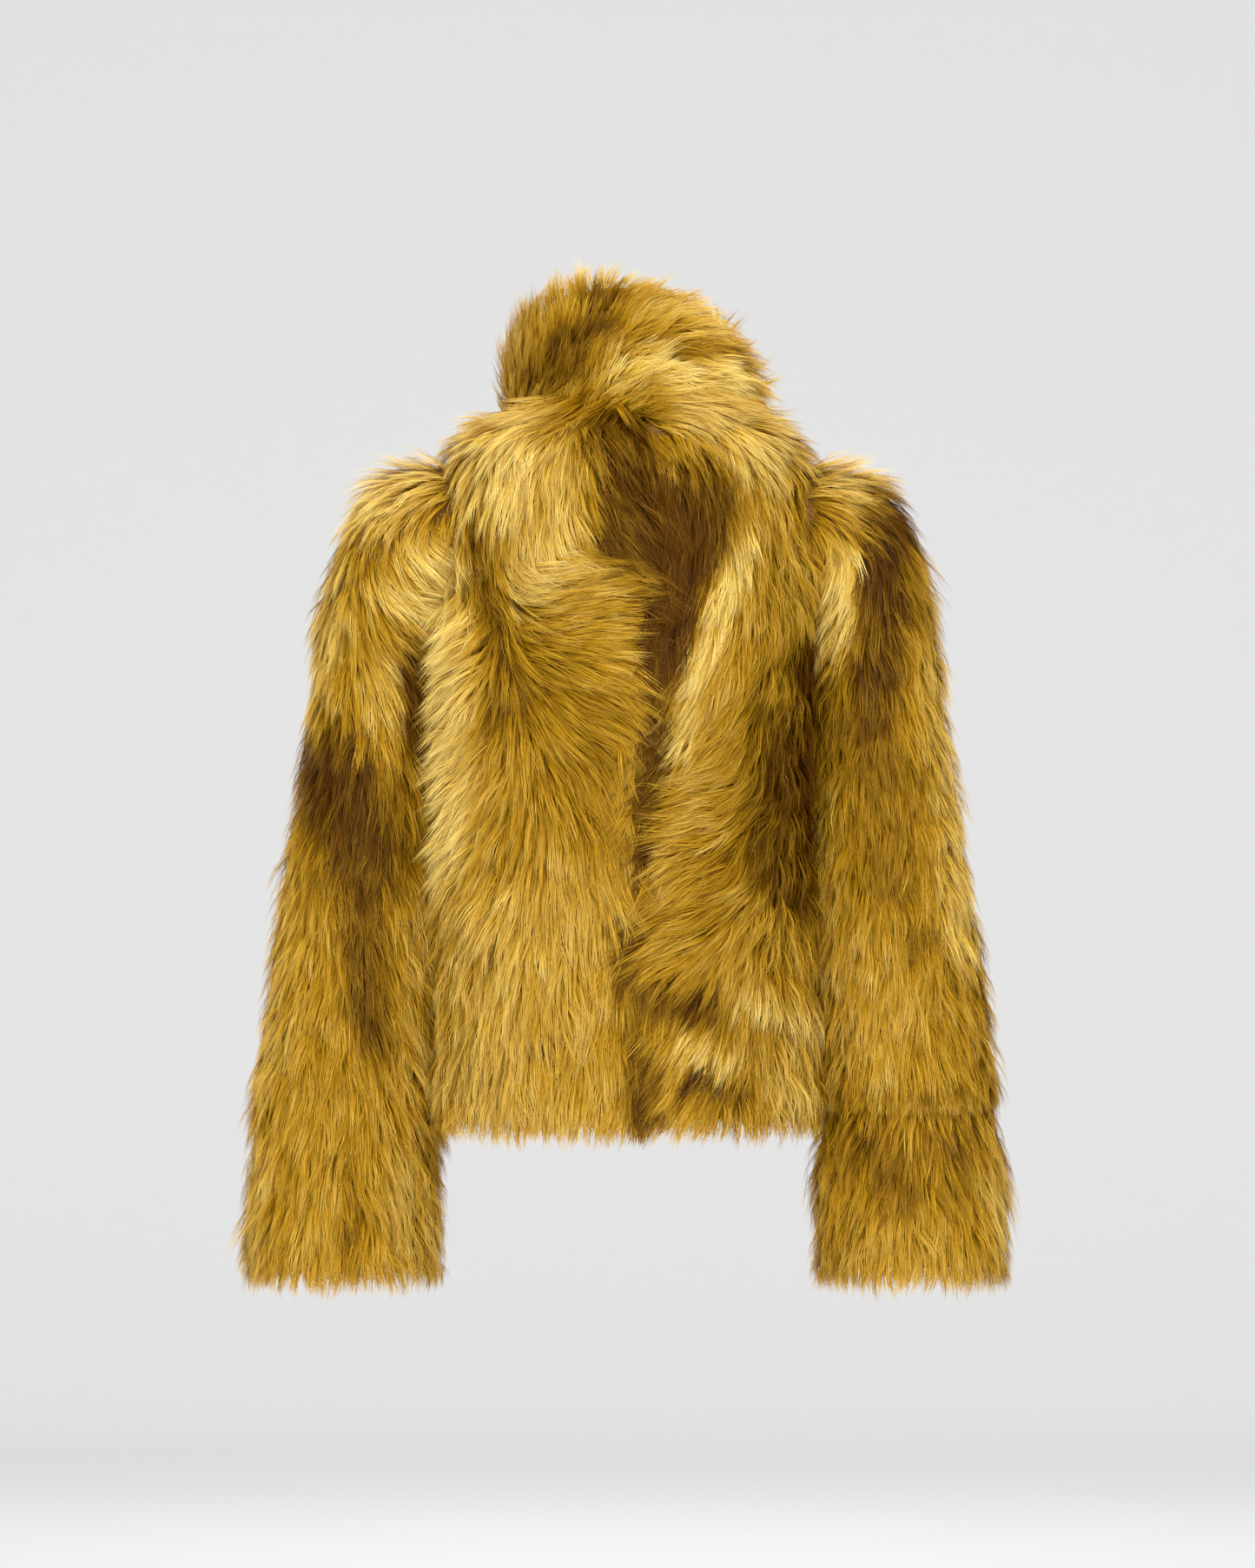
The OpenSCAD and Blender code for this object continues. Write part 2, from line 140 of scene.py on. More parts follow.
def ripple(points, wavelength, seed, waves=8):
    """Soft random hills over space, about -1 to 1 high, a wavelength apart."""
    rng = np.random.default_rng(seed)
    ways = rng.normal(size=(waves, 3))
    ways /= np.linalg.norm(ways, axis=1, keepdims=True)
    ways *= 2 * math.pi / wavelength * rng.uniform(0.7, 1.5, (waves, 1))
    return np.sin(points @ ways.T + rng.uniform(0, 2 * math.pi, waves)).sum(-1) / math.sqrt(waves / 2) / 1.4


def unit(vectors):
    return vectors / np.maximum(np.linalg.norm(vectors, axis=-1, keepdims=True), 1e-9)


def ease(t):
    t = np.clip(t, 0, 1)
    return t * t * (3 - 2 * t)


# ---------------------------------------------------------------- the jacket's surfaces

ROUND = 0.84


def ring(u, half_width, half_depth):
    c, s = np.cos(np.radians(u)), np.sin(np.radians(u))
    return (
        half_width * np.sign(c) * np.abs(c) ** ROUND,
        half_depth * np.sign(s) * np.abs(s) ** ROUND,
    )


def down(v):
    return CHEST_Z + (HEM_Z - CHEST_Z) * (v - 5) / 4


def body_levels():
    """Outline of the body from the neck seam, 0, to the hem, 9."""
    w, n = HALF_W, NECK_HALF_W
    half_width = [(0, n), (1, n + (w - n) * 0.55), (2, n + (w - n) * 0.97), (3, w + 3 * MM), (4, w + 1 * MM),
                  (5, w - 1 * MM), (6, w - 2 * MM), (7, w - 1 * MM), (8, w + 2 * MM), (9, w + HEM_FLARE)]
    d, m = HALF_D, NECK_HALF_D
    back = [(0, m), (1, m + (d - m) * 0.35), (2, m + (d - m) * 0.62), (3, m + (d - m) * 0.86), (4, d * 0.98),
            (5, d), (6, d * 0.97), (7, d * 0.96), (8, d * 0.98), (9, d)]
    front = [(0, m), (1, m + (d - m) * 0.34), (2, m + (d - m) * 0.62), (3, m + (d - m) * 0.84), (4, d * 0.97),
             (5, d), (9, d)]
    return half_width, back, front


BODY_WIDTH, BODY_BACK, BODY_FRONT = body_levels()
BACK_Z = [(0, 0), (1, -14 * MM), (2, -36 * MM), (3, -75 * MM), (4, -130 * MM), (5, CHEST_Z)]
SIDE_Z = [(0, -2 * MM), (1, -7 * MM), (2, -24 * MM), (3, -62 * MM), (4, -128 * MM), (5, CHEST_Z)]
FRONT_Z = [(0, -NECK_DROP), (1, -NECK_DROP - 18 * MM), (2, -NECK_DROP - 42 * MM), (3, -NECK_DROP - 70 * MM),
           (4, -NECK_DROP - 108 * MM), (5, CHEST_Z)]
RISE = [(0, 0.8), (1, 0.8), (2, 0.62), (3, 0.3), (4, 0), (9, 0)]


def level_z(u, v):
    s = np.sin(np.radians(u))
    share = s * s
    middle = np.where(s > 0, smooth(v, BACK_Z), smooth(v, FRONT_Z))
    z = smooth(v, SIDE_Z) * (1 - share) + middle * share
    return np.where(np.asarray(v) > 5, down(np.asarray(v, float)), z)


def body_surface(u, v, d):
    """Points of the body, d inside the outer surface of the pile."""
    rise = smooth(v, RISE)
    inset = d * np.sqrt(1 - rise * rise)
    depth = np.where(np.sin(np.radians(u)) > 0, smooth(v, BODY_BACK), smooth(v, BODY_FRONT))
    x, y = ring(u, smooth(v, BODY_WIDTH) - inset, depth - inset)
    return np.stack([x, y, level_z(u, v) - d * rise], -1)


def head_ring(degrees_out, degrees_in, depth):
    def on_head(degrees):
        a = math.radians(degrees)
        return SHOULDER.x + HEAD_R * math.cos(a), SHOULDER.z + HEAD_R * math.sin(a)
    return (*on_head(degrees_out), *on_head(degrees_in), depth)


def sleeve_rings():
    """Rings of the left sleeve: outer x and z, inner x and z, half depth. 0 to 4 is the head, 4 to 7 the upper
    sleeve, 7 to 9 the lower sleeve and 9 to 10 the cuff band."""
    side = HALF_W + SLEEVE_GAP
    cuff_w = CUFF_OUT_X - side - HEM_FLARE

    def hanging(z, width, depth):
        inner = side + HEM_FLARE * ease((z - FLARE_Z) / (HEM_Z - FLARE_Z))
        return (inner + width, z, inner, z, depth)

    return [
        head_ring(118, 254, HEAD_R - 3 * MM),
        head_ring(68, 256, HEAD_R - 2 * MM),
        (*head_ring(31, 0, 0)[:2], side, ARM_LEVEL_Z + 7 * MM, HEAD_R - 4 * MM),
        (SHOULDER.x + HEAD_R + 6 * MM, SHOULDER.z - 12 * MM, side, ARM_LEVEL_Z + 4 * MM, HEAD_R - 6 * MM),
        hanging(ARM_LEVEL_Z, 96 * MM, 55 * MM),
        hanging(ARM_LEVEL_Z + (ELBOW.z - ARM_LEVEL_Z) / 3, 101 * MM, 56 * MM),
        hanging(ARM_LEVEL_Z + (ELBOW.z - ARM_LEVEL_Z) * 2 / 3, 112 * MM, 58 * MM),
        hanging(ELBOW.z, 122 * MM, 60 * MM),
        hanging((ELBOW.z + BAND_Z) / 2, 132 * MM, 63 * MM),
        hanging(BAND_Z, 140 * MM, 67 * MM),
        hanging(CUFF_Z, cuff_w, 72 * MM),
    ]


SLEEVE = np.array(sleeve_rings())


def sleeve_surface(u, t, d):
    """Points of the left sleeve, d inside the outer surface of the pile."""
    r = [smooth(t, list(zip(range(len(SLEEVE)), SLEEVE[:, k]))) for k in range(5)]
    middle_x, middle_z = (r[0] + r[2]) / 2, (r[1] + r[3]) / 2
    across_x, across_z = (r[0] - r[2]) / 2, (r[1] - r[3]) / 2
    width = np.hypot(across_x, across_z)
    c, s = np.cos(np.radians(u)), np.sin(np.radians(u))
    reach = (width - d) * c / width
    return np.stack([middle_x + across_x * reach, (r[4] - d) * s, middle_z + across_z * reach], -1)


def collar_surface(u, s, d):
    """Points of the collar from its base, 0, to its top edge, 1."""
    half_w = smooth(s, [(0, COLLAR_HALF_W), (0.35, COLLAR_HALF_W - 1 * MM), (1, COLLAR_HALF_W - COLLAR_TAPER)])
    half_d = smooth(s, [(0, NECK_HALF_D + 9 * MM), (0.35, NECK_HALF_D + 11 * MM), (1, NECK_HALF_D + 3 * MM)])
    x, y = ring(u, half_w - d, half_d - d)
    turn = np.sin(np.radians(u))
    side = 0.8 * COLLAR_FRONT_H + 0.2 * COLLAR_TOP_Z
    height = side + (np.where(turn > 0, COLLAR_TOP_Z, COLLAR_FRONT_H) - side) * turn * turn
    z = level_z(u, np.zeros_like(np.asarray(u, float))) + s * height
    return np.stack([x, y, z], -1)


SURFACES = {"body": body_surface, "sleeve": sleeve_surface, "collar": collar_surface}


# ---------------------------------------------------------------- how the pile is combed
# Each stroke of the comb on each kind of surface: from x, z to x, z, in millimetres.

STROKES = {
    "body": [
        (81, -5, 81, -85), (48, -5, 55, -82), (118, -8, 165, -40), (122, -45, 108, -150), (75, -60, 72, -105),
        (96, -128, 45, -100), (96, -158, 38, -140), (94, -188, 30, -180), (93, -215, 30, -225),
        (150, -112, 114, -120), (90, -235, 44, -285), (92, -250, 84, -315), (41, -279, 1, -345),
        (112, -375, 110, -545), (55, -359, 55, -545), (15, -292, 11, -545), (15, -92, -9, -119),
        (15, -200, -7, -225), (25, -30, 10, -70), (106, -140, 152, -142), (106, -165, 152, -168),
        (104, -190, 152, -196), (103, -215, 152, -222), (102, -240, 152, -250), (101, -268, 152, -282),
        (100, -300, 152, -318), (108, -370, 150, -410), (128, -459, 141, -545), (-52, -5, -59, -65),
        (-92, -5, -105, -65), (-118, -8, -165, -40), (-72, -85, -45, -159), (-50, -150, -30, -225),
        (-110, -79, -60, -185), (-70, -180, -38, -255), (-95, -90, -140, -140), (-119, -170, -75, -235),
        (-119, -239, -25, -259), (-119, -305, -25, -319), (-119, -359, -32, -392), (-105, -412, -39, -492),
        (-79, -465, -35, -545), (-112, -445, -105, -539), (-119, -252, -150, -279), (-122, -332, -150, -385),
        (-128, -420, -145, -540), (16, 20, -20, 30), (-20, 30, -62, 26), (-62, 26, -106, 4), (16, 14, 60, 16),
        (60, 16, 108, 4),
    ],
    "sleeve": [
        (121, -20, 195, -65), (185, -70, 222, -125), (228, -150, 251, -239), (190, -100, 150, -122),
        (195, -140, 130, -160), (205, -170, 178, -235), (196, -265, 207, -365), (168, -225, 151, -292),
        (168, -320, 153, -400), (245, -270, 268, -385), (275, -425, 290, -532), (215, -325, 212, -492),
        (188, -425, 155, -519), (235, -480, 240, -560), (281, -592, 298, -665), (228, -599, 228, -679),
        (175, -599, 161, -672), (-119, -25, -185, -62), (-175, -60, -222, -115), (-205, -105, -216, -212),
        (-175, -125, -150, -190), (-225, -199, -259, -332), (-165, -230, -139, -345),
        (-185, -250, -192, -380), (-215, -280, -222, -420), (-262, -360, -280, -500),
        (-155, -400, -142, -500), (-205, -430, -210, -540), (-270, -550, -290, -665),
        (-215, -560, -215, -670), (-170, -560, -158, -660),
    ],
    "collar": [
        (95, 10, 90, 70), (60, 30, 62, 80), (35, 20, 40, 60), (38, 60, 36, 100), (14, 60, 16, 100),
        (30, 30, -20, 62), (10, 50, -45, 82), (-30, 62, -75, 56), (-60, 70, -88, 48), (-40, 36, -85, 34),
        (0, 85, -40, 94), (16, 8, -8, 26), (-8, 28, -50, 26), (-50, 26, -102, 0), (112, -8, 100, 45),
        (112, 0, 84, 30), (90, 2, 50, 30),
    ],
}
# Darker and paler places, laid over one another: from x, z to x, z, half width, and the tone between dark, 0,
# and pale tips, 1. Partly the hair's own colour, dark roots in its partings and pale tips, and partly painted
# light and
# shade: painted shade along the centre back groove, in the creases where the sleeves meet the body, at the
# armholes and in a line under the right cuff band's step, and painted highlight over the pale upper back and
# shoulders.
HAIR_TONES_AND_PAINTED_LIGHT = {
    "body": [
        (81, -20, 95, -60, 40, 0.84), (40, -30, 50, -110, 22, 0.66), (24, -61, 80, -150, 17, 0.8),
        (60, -200, 50, -300, 30, 0.44), (26, -230, 18, -330, 18, 0.36), (95, -400, 100, -540, 36, 0.66),
        (45, -400, 45, -540, 34, 0.58), (126, -165, 128, -355, 17, 0.84), (107, -95, 98, -140, 8, 0.12),
        (96, -140, 90, -250, 9, 0.26), (-50, -15, -100, -35, 32, 0.82), (-46, -78, -46, -112, 36, 0.02),
        (-38, -125, -33, -195, 21, 0.02), (-26, -195, -24, -300, 10, 0.04), (-87, -102, -67, -159, 11, 0.94),
        (-67, -159, -53, -205, 10, 0.93), (-53, -205, -43, -262, 8, 0.84), (-105, -190, -98, -250, 22, 0.46),
        (-123, -185, -118, -380, 15, 0.03), (-103, -245, -99, -365, 17, 0.15),
        (-52, -290, -56, -320, 15, 0.6), (-110, -345, -70, -352, 12, 0.26), (-50, -370, -90, -385, 14, 0.5),
        (-25, -455, -62, -470, 12, 0.08), (-48, -488, -70, -502, 9, 0.88), (-90, -458, -128, -478, 14, 0.8),
        (-112, -510, -118, -540, 18, 0.7), (-50, -520, -84, -530, 12, 0.12), (-14, -495, -18, -550, 10, 0.1),
        # painted shade: the last two places on this line and the first on the next darken the creases where the
        # sleeves meet the body.
        (-60, -556, -100, -560, 8, 0.5), (-134, -188, -140, -300, 10, 0.12), (-144, -300, -147, -545, 8, 0.2),
        (150, -400, 150, -550, 6, 0.2), (150, -118, 115, -125, 13, 0.9), (160, -150, 118, -160, 12, 0.86),
        # painted shade: the last place on this line and both on the next darken the centre back groove.
        (12, -28, 8, -105, 22, 0.13), (20, 14, 105, 6, 12, 0.74), (-9, -20, -19, -272, 10, 0.03),
        (-19, -272, -5, -439, 8, 0.05), (-5, -439, -9, -560, 7, 0.1),
    ],
    "sleeve": [
        (130, -30, 200, -75, 30, 0.84), (225, -130, 245, -230, 22, 0.74), (200, -108, 190, -112, 7, 0.2),
        (178, -205, 192, -270, 16, 0.7), (160, -118, 115, -125, 14, 0.92), (178, -148, 118, -160, 14, 0.88),
        # painted shade: the first place on this line darkens the sleeve under the armhole.
        (172, -185, 168, -268, 10, 0.08), (158, -220, 156, -300, 8, 0.66), (225, -285, 205, -345, 36, 0.03),
        (212, -345, 196, -490, 17, 0.16), (265, -300, 285, -520, 20, 0.64), (165, -400, 160, -520, 20, 0.6),
        (285, -590, 292, -660, 20, 0.62), (240, -600, 240, -660, 22, 0.55), (215, -600, 214, -670, 7, 0.3),
        (178, -600, 172, -665, 20, 0.62), (152, -560, 150, -660, 7, 0.3), (-120, -30, -185, -60, 27, 0.86),
        (-200, -90, -190, -150, 24, 0.03), (-228, -95, -234, -150, 8, 0.6),
        (-195, -160, -190, -270, 20, 0.12), (-168, -118, -172, -170, 11, 1.0),
        (-156, -168, -165, -186, 12, 0.74), (-150, -205, -160, -262, 14, 0.2),
        (-150, -268, -148, -350, 8, 0.78), (-245, -200, -258, -420, 18, 0.78),
        (-200, -280, -205, -380, 24, 0.32), (-180, -420, -195, -500, 32, 0.58),
        (-230, -412, -222, -420, 9, 0.26), (-255, -440, -270, -500, 16, 0.5),
        (-195, -580, -215, -600, 26, 0.26), (-250, -580, -250, -600, 20, 0.32),
        (-230, -655, -190, -662, 18, 0.56), (-280, -600, -288, -660, 15, 0.64),
        # painted shade: a thin dark line under the step of the right cuff band.
        (-150, -540, -290, -534, 4, 0.08),
    ],
    "collar": [
        (104, 0, 88, 75, 18, 0.64), (-25, 76, -80, 52, 18, 0.66), (50, 36, 26, 50, 14, 0.14),
        (62, 16, 38, 22, 11, 0.2), (24, 78, 12, 82, 10, 0.16), (42, 96, -20, 98, 7, 0.74),
        (-2, 44, -72, 38, 6, 0.22), (14, 14, -10, 27, 10, 0.92), (-10, 27, -60, 24, 11, 0.96),
        (-60, 24, -104, 4, 11, 0.86), (-92, 6, -86, 12, 5, 0.3),
    ],
}


def beside(seen, line):
    """How far points lie from a line, and the line's direction."""
    a, b = np.array(line, float).reshape(2, 2)
    along = b - a
    share = np.clip(((seen - a) @ along) / (along @ along), 0, 1)
    return np.linalg.norm(seen - a - share[:, None] * along, axis=1), along / np.linalg.norm(along)


def combed(points, normals, kind):
    """Which way the pile lies at each point, and how pale it is there: the hair's own tone with painted shade
    and painted highlight laid over it.
    """
    seen = points[:, [0, 2]] / MM
    reach = 13.0 if kind == "collar" else 19.0
    default = (0.0, 1.0) if kind == "collar" else (0.0, -1.0)
    way = np.tile(np.array(default) * 0.01, (len(seen), 1))
    for stroke in STROKES[kind]:
        gap, along = beside(seen, stroke)
        way += np.exp(-((gap / reach) ** 2) / 2)[:, None] * along
    way = unit(way)
    tone = np.full(len(seen), 0.52)
    wander = 1 + 0.2 * ripple(points, 26 * MM, SEED + 8)
    middle = seen + way * (9.0 if kind == "collar" else 16.0)
    # The tone table lays painted shade in grooves and creases and painted highlight over the back and shoulders
    # on the hair's own tone.
    for *line, half_width, level in HAIR_TONES_AND_PAINTED_LIGHT[kind]:
        gap, _ = beside(middle, line)
        tone += (level - tone) * np.exp(-((gap * wander / half_width) ** 3))
    behind = ease((normals[:, 1] + 0.35) / 0.5)
    way = way * behind[:, None] + np.array(default) * (1 - behind)[:, None]
    tone = tone * behind + (0.55 + 0.2 * ripple(points, 60 * MM, SEED + 9)) * (1 - behind)
    swirl = 0.16 * ripple(points, 45 * MM, SEED + 1) + 0.1 * ripple(points, 15 * MM, SEED + 2)
    c, s = np.cos(swirl), np.sin(swirl)
    way = np.stack([way[:, 0] * c - way[:, 1] * s, way[:, 0] * s + way[:, 1] * c], -1)
    comb = np.stack([way[:, 0], np.zeros(len(way)), way[:, 1]], -1)
    outward = (comb * normals).sum(-1, keepdims=True)
    comb = unit(comb + np.array([0, 0, -0.12]) * (np.abs(outward) > 0.7) - normals * outward)
    sideways = np.abs(way[:, :1]) * behind[:, None]
    comb = unit(comb + normals * np.clip((0.5 + 0.4 * sideways) * outward, 0, 0.36 + 0.5 * sideways))
    tone = tone + 0.05 * ripple(points, 30 * MM, SEED + 3) + 0.06 * ripple(points, 9 * MM, SEED + 4)
    return comb, np.clip(tone, 0.02, 0.98)


# ---------------------------------------------------------------- meshes


def add_mesh(name, points, faces, smooth_faces=True):
    mesh = bpy.data.meshes.new(name)
    mesh.from_pydata([tuple(p) for p in points], [], faces)
    mesh.polygons.foreach_set("use_smooth", [smooth_faces] * len(mesh.polygons))
    mesh.update()
    obj = bpy.data.objects.new(name, mesh)
    bpy.context.scene.collection.objects.link(obj)
    return obj


@dataclass
class Patch:
    """A stretch of one of the jacket's surfaces, from u0 to u1 round it and from w0 to w1 along it."""

    kind: str
    side: int
    u0: float
    u1: float
    w0: float
    w1: float
    cell: float = 6 * MM

    def grid(self, depth):
        """Points at a depth, which may be a number or a function of u and w; rows run along."""
        surface = SURFACES[self.kind]
        middle_u, middle_w = (self.u0 + self.u1) / 2, (self.w0 + self.w1) / 2
        round_line = surface(np.linspace(self.u0, self.u1, 60), np.full(60, middle_w), 0.0)
        down_line = surface(np.full(60, middle_u), np.linspace(self.w0, self.w1, 60), 0.0)
        n = max(3, round(np.linalg.norm(np.diff(round_line, axis=0), axis=1).sum() / self.cell))
        m = max(3, round(np.linalg.norm(np.diff(down_line, axis=0), axis=1).sum() / self.cell))
        u, w = np.meshgrid(np.linspace(self.u0, self.u1, n + 1), np.linspace(self.w0, self.w1, m + 1))
        depths = depth(u, w) if callable(depth) else depth
        points = surface(u, w, depths) * np.array([self.side, 1, 1])
        if self.kind == "collar":  # the collar leans to the wearer's left, and its right side slumps
            slump = 0.04 + 0.12 * ease(-points[..., 0] / (80 * MM))
            points[..., 0] += slump * np.clip(points[..., 2], 0, None)
        return points

    def normals(self, points):
        """Outward normals of a grid of points."""
        across = np.gradient(points, axis=1)
        along = np.gradient(points, axis=0)
        turned = np.cross(across, along) * -self.side
        if self.kind == "collar":  # its rows run upwards
            turned = -turned
        return unit(turned)

    def quads(self, shape, keep=None):
        """Faces of a grid of points, pointing outwards, as index quads."""
        rows, columns = shape
        flip = (self.side > 0) == (self.kind == "collar")
        found = []
        for j in range(rows - 1):
            for i in range(columns - 1):
                if keep is not None and not keep[j, i]:
                    continue
                a = j * columns + i
                quad = (a, a + 1, a + columns + 1, a + columns)
                found.append(quad if flip else quad[::-1])
        return found


def clear_of_armhole(patch, points, radius):
    """Which cells of a body grid lie outside the round armhole."""
    if patch.kind != "body" or abs(patch.u0) > 45 and abs(patch.u1) > 45:
        return None
    centre = np.array([SHOULDER.x * patch.side, 0, SHOULDER.z])
    middles = (points[:-1, :-1] + points[1:, :-1] + points[:-1, 1:] + points[1:, 1:]) / 4
    return np.linalg.norm(middles - centre, axis=-1) > radius


def shell(name, patch, outer, inner, keep=None):
    """A closed wall between two grids of points."""
    shape = outer.shape[:2]
    count = shape[0] * shape[1]
    front = patch.quads(shape, keep)
    faces = list(front) + [tuple(k + count for k in q[::-1]) for q in front]
    edges = {}
    for quad in front:
        for a, b in zip(quad, quad[1:] + quad[:1]):
            edges[(a, b)] = True
    for a, b in edges:
        if (b, a) not in edges:
            faces.append((b, a, a + count, b + count))
    points = np.concatenate([outer.reshape(-1, 3), inner.reshape(-1, 3)])
    used = sorted({k for f in faces for k in f})
    place = {k: i for i, k in enumerate(used)}
    return add_mesh(name, points[used], [tuple(place[k] for k in f) for f in faces])


# ---------------------------------------------------------------- materials


def linear(hex_colour):
    """An sRGB hex colour as linear RGBA."""
    values = [int(hex_colour[k : k + 2], 16) / 255 for k in (1, 3, 5)]
    return (*(c / 12.92 if c <= 0.04045 else ((c + 0.055) / 1.055) ** 2.4 for c in values), 1.0)


def add(tree, kind, settings=None, inputs=None, stops=()):
    """Adds a node with its settings, its inputs by name or number, and a colour ramp's stops."""
    node = tree.nodes.new(kind)
    for name, value in (settings or {}).items():
        setattr(node, name, value)
    for name, value in (inputs or {}).items():
        socket = node.inputs[name]
        if isinstance(value, bpy.types.NodeSocket):
            tree.links.new(value, socket)
        else:
            socket.default_value = value
    for k, (place, colour) in enumerate(stops):
        elements = node.color_ramp.elements
        element = elements[k] if k < len(elements) else elements.new(place)
        element.position, element.color = place, linear(colour)
    return node


def new_material(name, roughness, ior=1.5):
    material = bpy.data.materials.new(name)
    material.use_nodes = True
    tree = material.node_tree
    shader = tree.nodes["Principled BSDF"]
    shader.inputs["Roughness"].default_value = roughness
    shader.inputs["IOR"].default_value = ior
    return material, tree, shader


def dressed(finish, coloured_by, stops, raised_by, strength, depth):
    """Colours a finish by one pattern and raises its surface by another; returns its material."""
    material, tree, shader = finish
    colour = add(tree, "ShaderNodeValToRGB", inputs={"Fac": coloured_by}, stops=stops)
    tree.links.new(colour.outputs["Color"], shader.inputs["Base Color"])
    bump = add(tree, "ShaderNodeBump", inputs={"Height": raised_by, "Strength": strength, "Distance": depth})
    tree.links.new(bump.outputs["Normal"], shader.inputs["Normal"])
    return material


def pile_material(colours):
    """Long guard hair of dyed lamb: dark at the root, pale at the tip, with a silky gloss along each lock."""
    material, tree, shader = new_material("Dyed lamb guard hair", 0.42, 1.55)
    place = add(tree, "ShaderNodeUVMap", {"uv_map": "OFBake"})
    parts = add(tree, "ShaderNodeSeparateXYZ", inputs={"Vector": place.outputs["UV"]})
    tone, along = parts.outputs["X"], parts.outputs["Y"]
    ramps = [
        [(0.0, colours.root), (0.4, colours.shade), (1.0, colours.shade_tip)],
        [(0.0, colours.shade), (0.35, colours.gold), (1.0, colours.gold_tip)],
        [(0.0, colours.pale_root), (0.35, colours.pale), (1.0, colours.tip)],
    ]
    mixed, gold, pale = (
        add(tree, "ShaderNodeValToRGB", inputs={"Fac": along}, stops=stops).outputs["Color"] for stops in ramps)
    # Mixed by tone: the hair's own dark partings and pale tips, and the painted shade and highlight of the tone
    # table.
    for low, high, paler in ((0.07, 0.5, gold), (0.5, 1.0, pale)):
        share = add(tree, "ShaderNodeMapRange",
                    inputs={"Value": tone, "From Min": low, "From Max": high}).outputs[0]
        mixed = add(tree, "ShaderNodeMix", {"data_type": "RGBA"}, {0: share, 6: mixed, 7: paler}).outputs[2]
    tree.links.new(mixed, shader.inputs["Base Color"])
    shader.inputs["Specular IOR Level"].default_value = 0.06
    return material


def undercoat_material(colours):
    """Dense wool under the hair, seen only where the locks part: matte, its crimp about 2 mm long."""
    finish = new_material("Crimped wool undercoat", 0.85)
    place = add(finish[1], "ShaderNodeTexCoord").outputs["Object"]
    crimp = add(finish[1], "ShaderNodeTexNoise",
                inputs={"Vector": place, "Scale": 420.0, "Detail": 3.0}).outputs["Fac"]
    return dressed(finish, crimp, [(0.3, colours.shade), (0.7, colours.undercoat)], crimp, 0.8, 1.2 * MM)


def leather_material(colours):
    """Sueded skin side of the pelt: matte, with a short nap and fine wrinkles about a millimetre apart."""
    finish = new_material("Sueded pelt leather", 0.82)
    place = add(finish[1], "ShaderNodeTexCoord").outputs["Object"]
    nap = add(finish[1], "ShaderNodeTexNoise",
              inputs={"Vector": place, "Scale": 90.0, "Detail": 6.0}).outputs["Fac"]
    grain = add(finish[1], "ShaderNodeTexVoronoi", inputs={"Vector": place, "Scale": 900.0}).outputs["Distance"]
    return dressed(finish, nap, [(0.3, colours.leather_shade), (0.7, colours.leather)], grain, 0.35, 0.4 * MM)


def satin_material(colours):
    """Satin lining: long floats give a soft streaky gloss across the weave, drawn at 0.8 mm to show."""
    finish = new_material("Bronze satin weave", 0.32)
    place = add(finish[1], "ShaderNodeTexCoord").outputs["Object"]
    turned = add(finish[1], "ShaderNodeMapping",
                 inputs={"Vector": place, "Scale": (1.0, 1.0, 0.08)}).outputs["Vector"]
    floats = add(finish[1], "ShaderNodeTexNoise",
                 inputs={"Vector": turned, "Scale": 1250.0, "Detail": 2.0}).outputs["Fac"]
    finish[2].inputs["Sheen Weight"].default_value = 0.2
    return dressed(finish, floats, [(0.3, colours.lining_shade), (0.7, colours.lining)], floats, 0.25, 0.2 * MM)


def tape_material(colours):
    """Cotton stay tape: a matte plain weave with threads drawn at 0.7 mm."""
    material, tree, shader = new_material("Cotton stay tape", 0.9)
    weave = add(tree, "ShaderNodeTexChecker", inputs={
        "Vector": add(tree, "ShaderNodeTexCoord").outputs["Object"], "Scale": 1430.0,
        "Color1": linear(colours.tape), "Color2": linear(colours.tape_shade)})
    tree.links.new(weave.outputs["Color"], shader.inputs["Base Color"])
    return material


def wadding_material(colours):
    """Needled wadding: matte off-white felt with loose fibres."""
    finish = new_material("Needled wadding", 0.95)
    fibre = add(finish[1], "ShaderNodeTexNoise", inputs={
        "Vector": add(finish[1], "ShaderNodeTexCoord").outputs["Object"], "Scale": 260.0, "Detail": 8.0,
        "Roughness": 0.7}).outputs["Fac"]
    return dressed(finish, fibre, [(0.3, colours.tape_shade), (0.7, colours.tape)], fibre, 0.5, 1 * MM)


def covered_wire_material(colours):
    """Fur hook wire wound with thread, whose turns lie 0.9 mm apart."""
    finish = new_material("Thread-covered wire", 0.55)
    turns = add(finish[1], "ShaderNodeTexWave", {"bands_direction": "DIAGONAL"}, {
        "Vector": add(finish[1], "ShaderNodeTexCoord").outputs["Object"], "Scale": 350.0}).outputs["Fac"]
    return dressed(finish, turns, [(0.2, colours.wire_shade), (0.8, colours.wire)], turns, 0.5, 0.3 * MM)


MAKERS = {
    "pile": pile_material, "undercoat": undercoat_material, "leather": leather_material,
    "satin": satin_material,
    "tape": tape_material, "wadding": wadding_material, "wire": covered_wire_material,
}
FINISHES = {}


def finish_of(name):
    if name not in FINISHES:
        FINISHES[name] = MAKERS[name](bpy.context.scene.jacket_colours)
    return FINISHES[name]


# ---------------------------------------------------------------- the pile

LOCK_LENGTH = 40 * MM
LOCK_KINDS = 10
STRAND_PLACES = (0.0, 0.3, 0.64, 1.0)


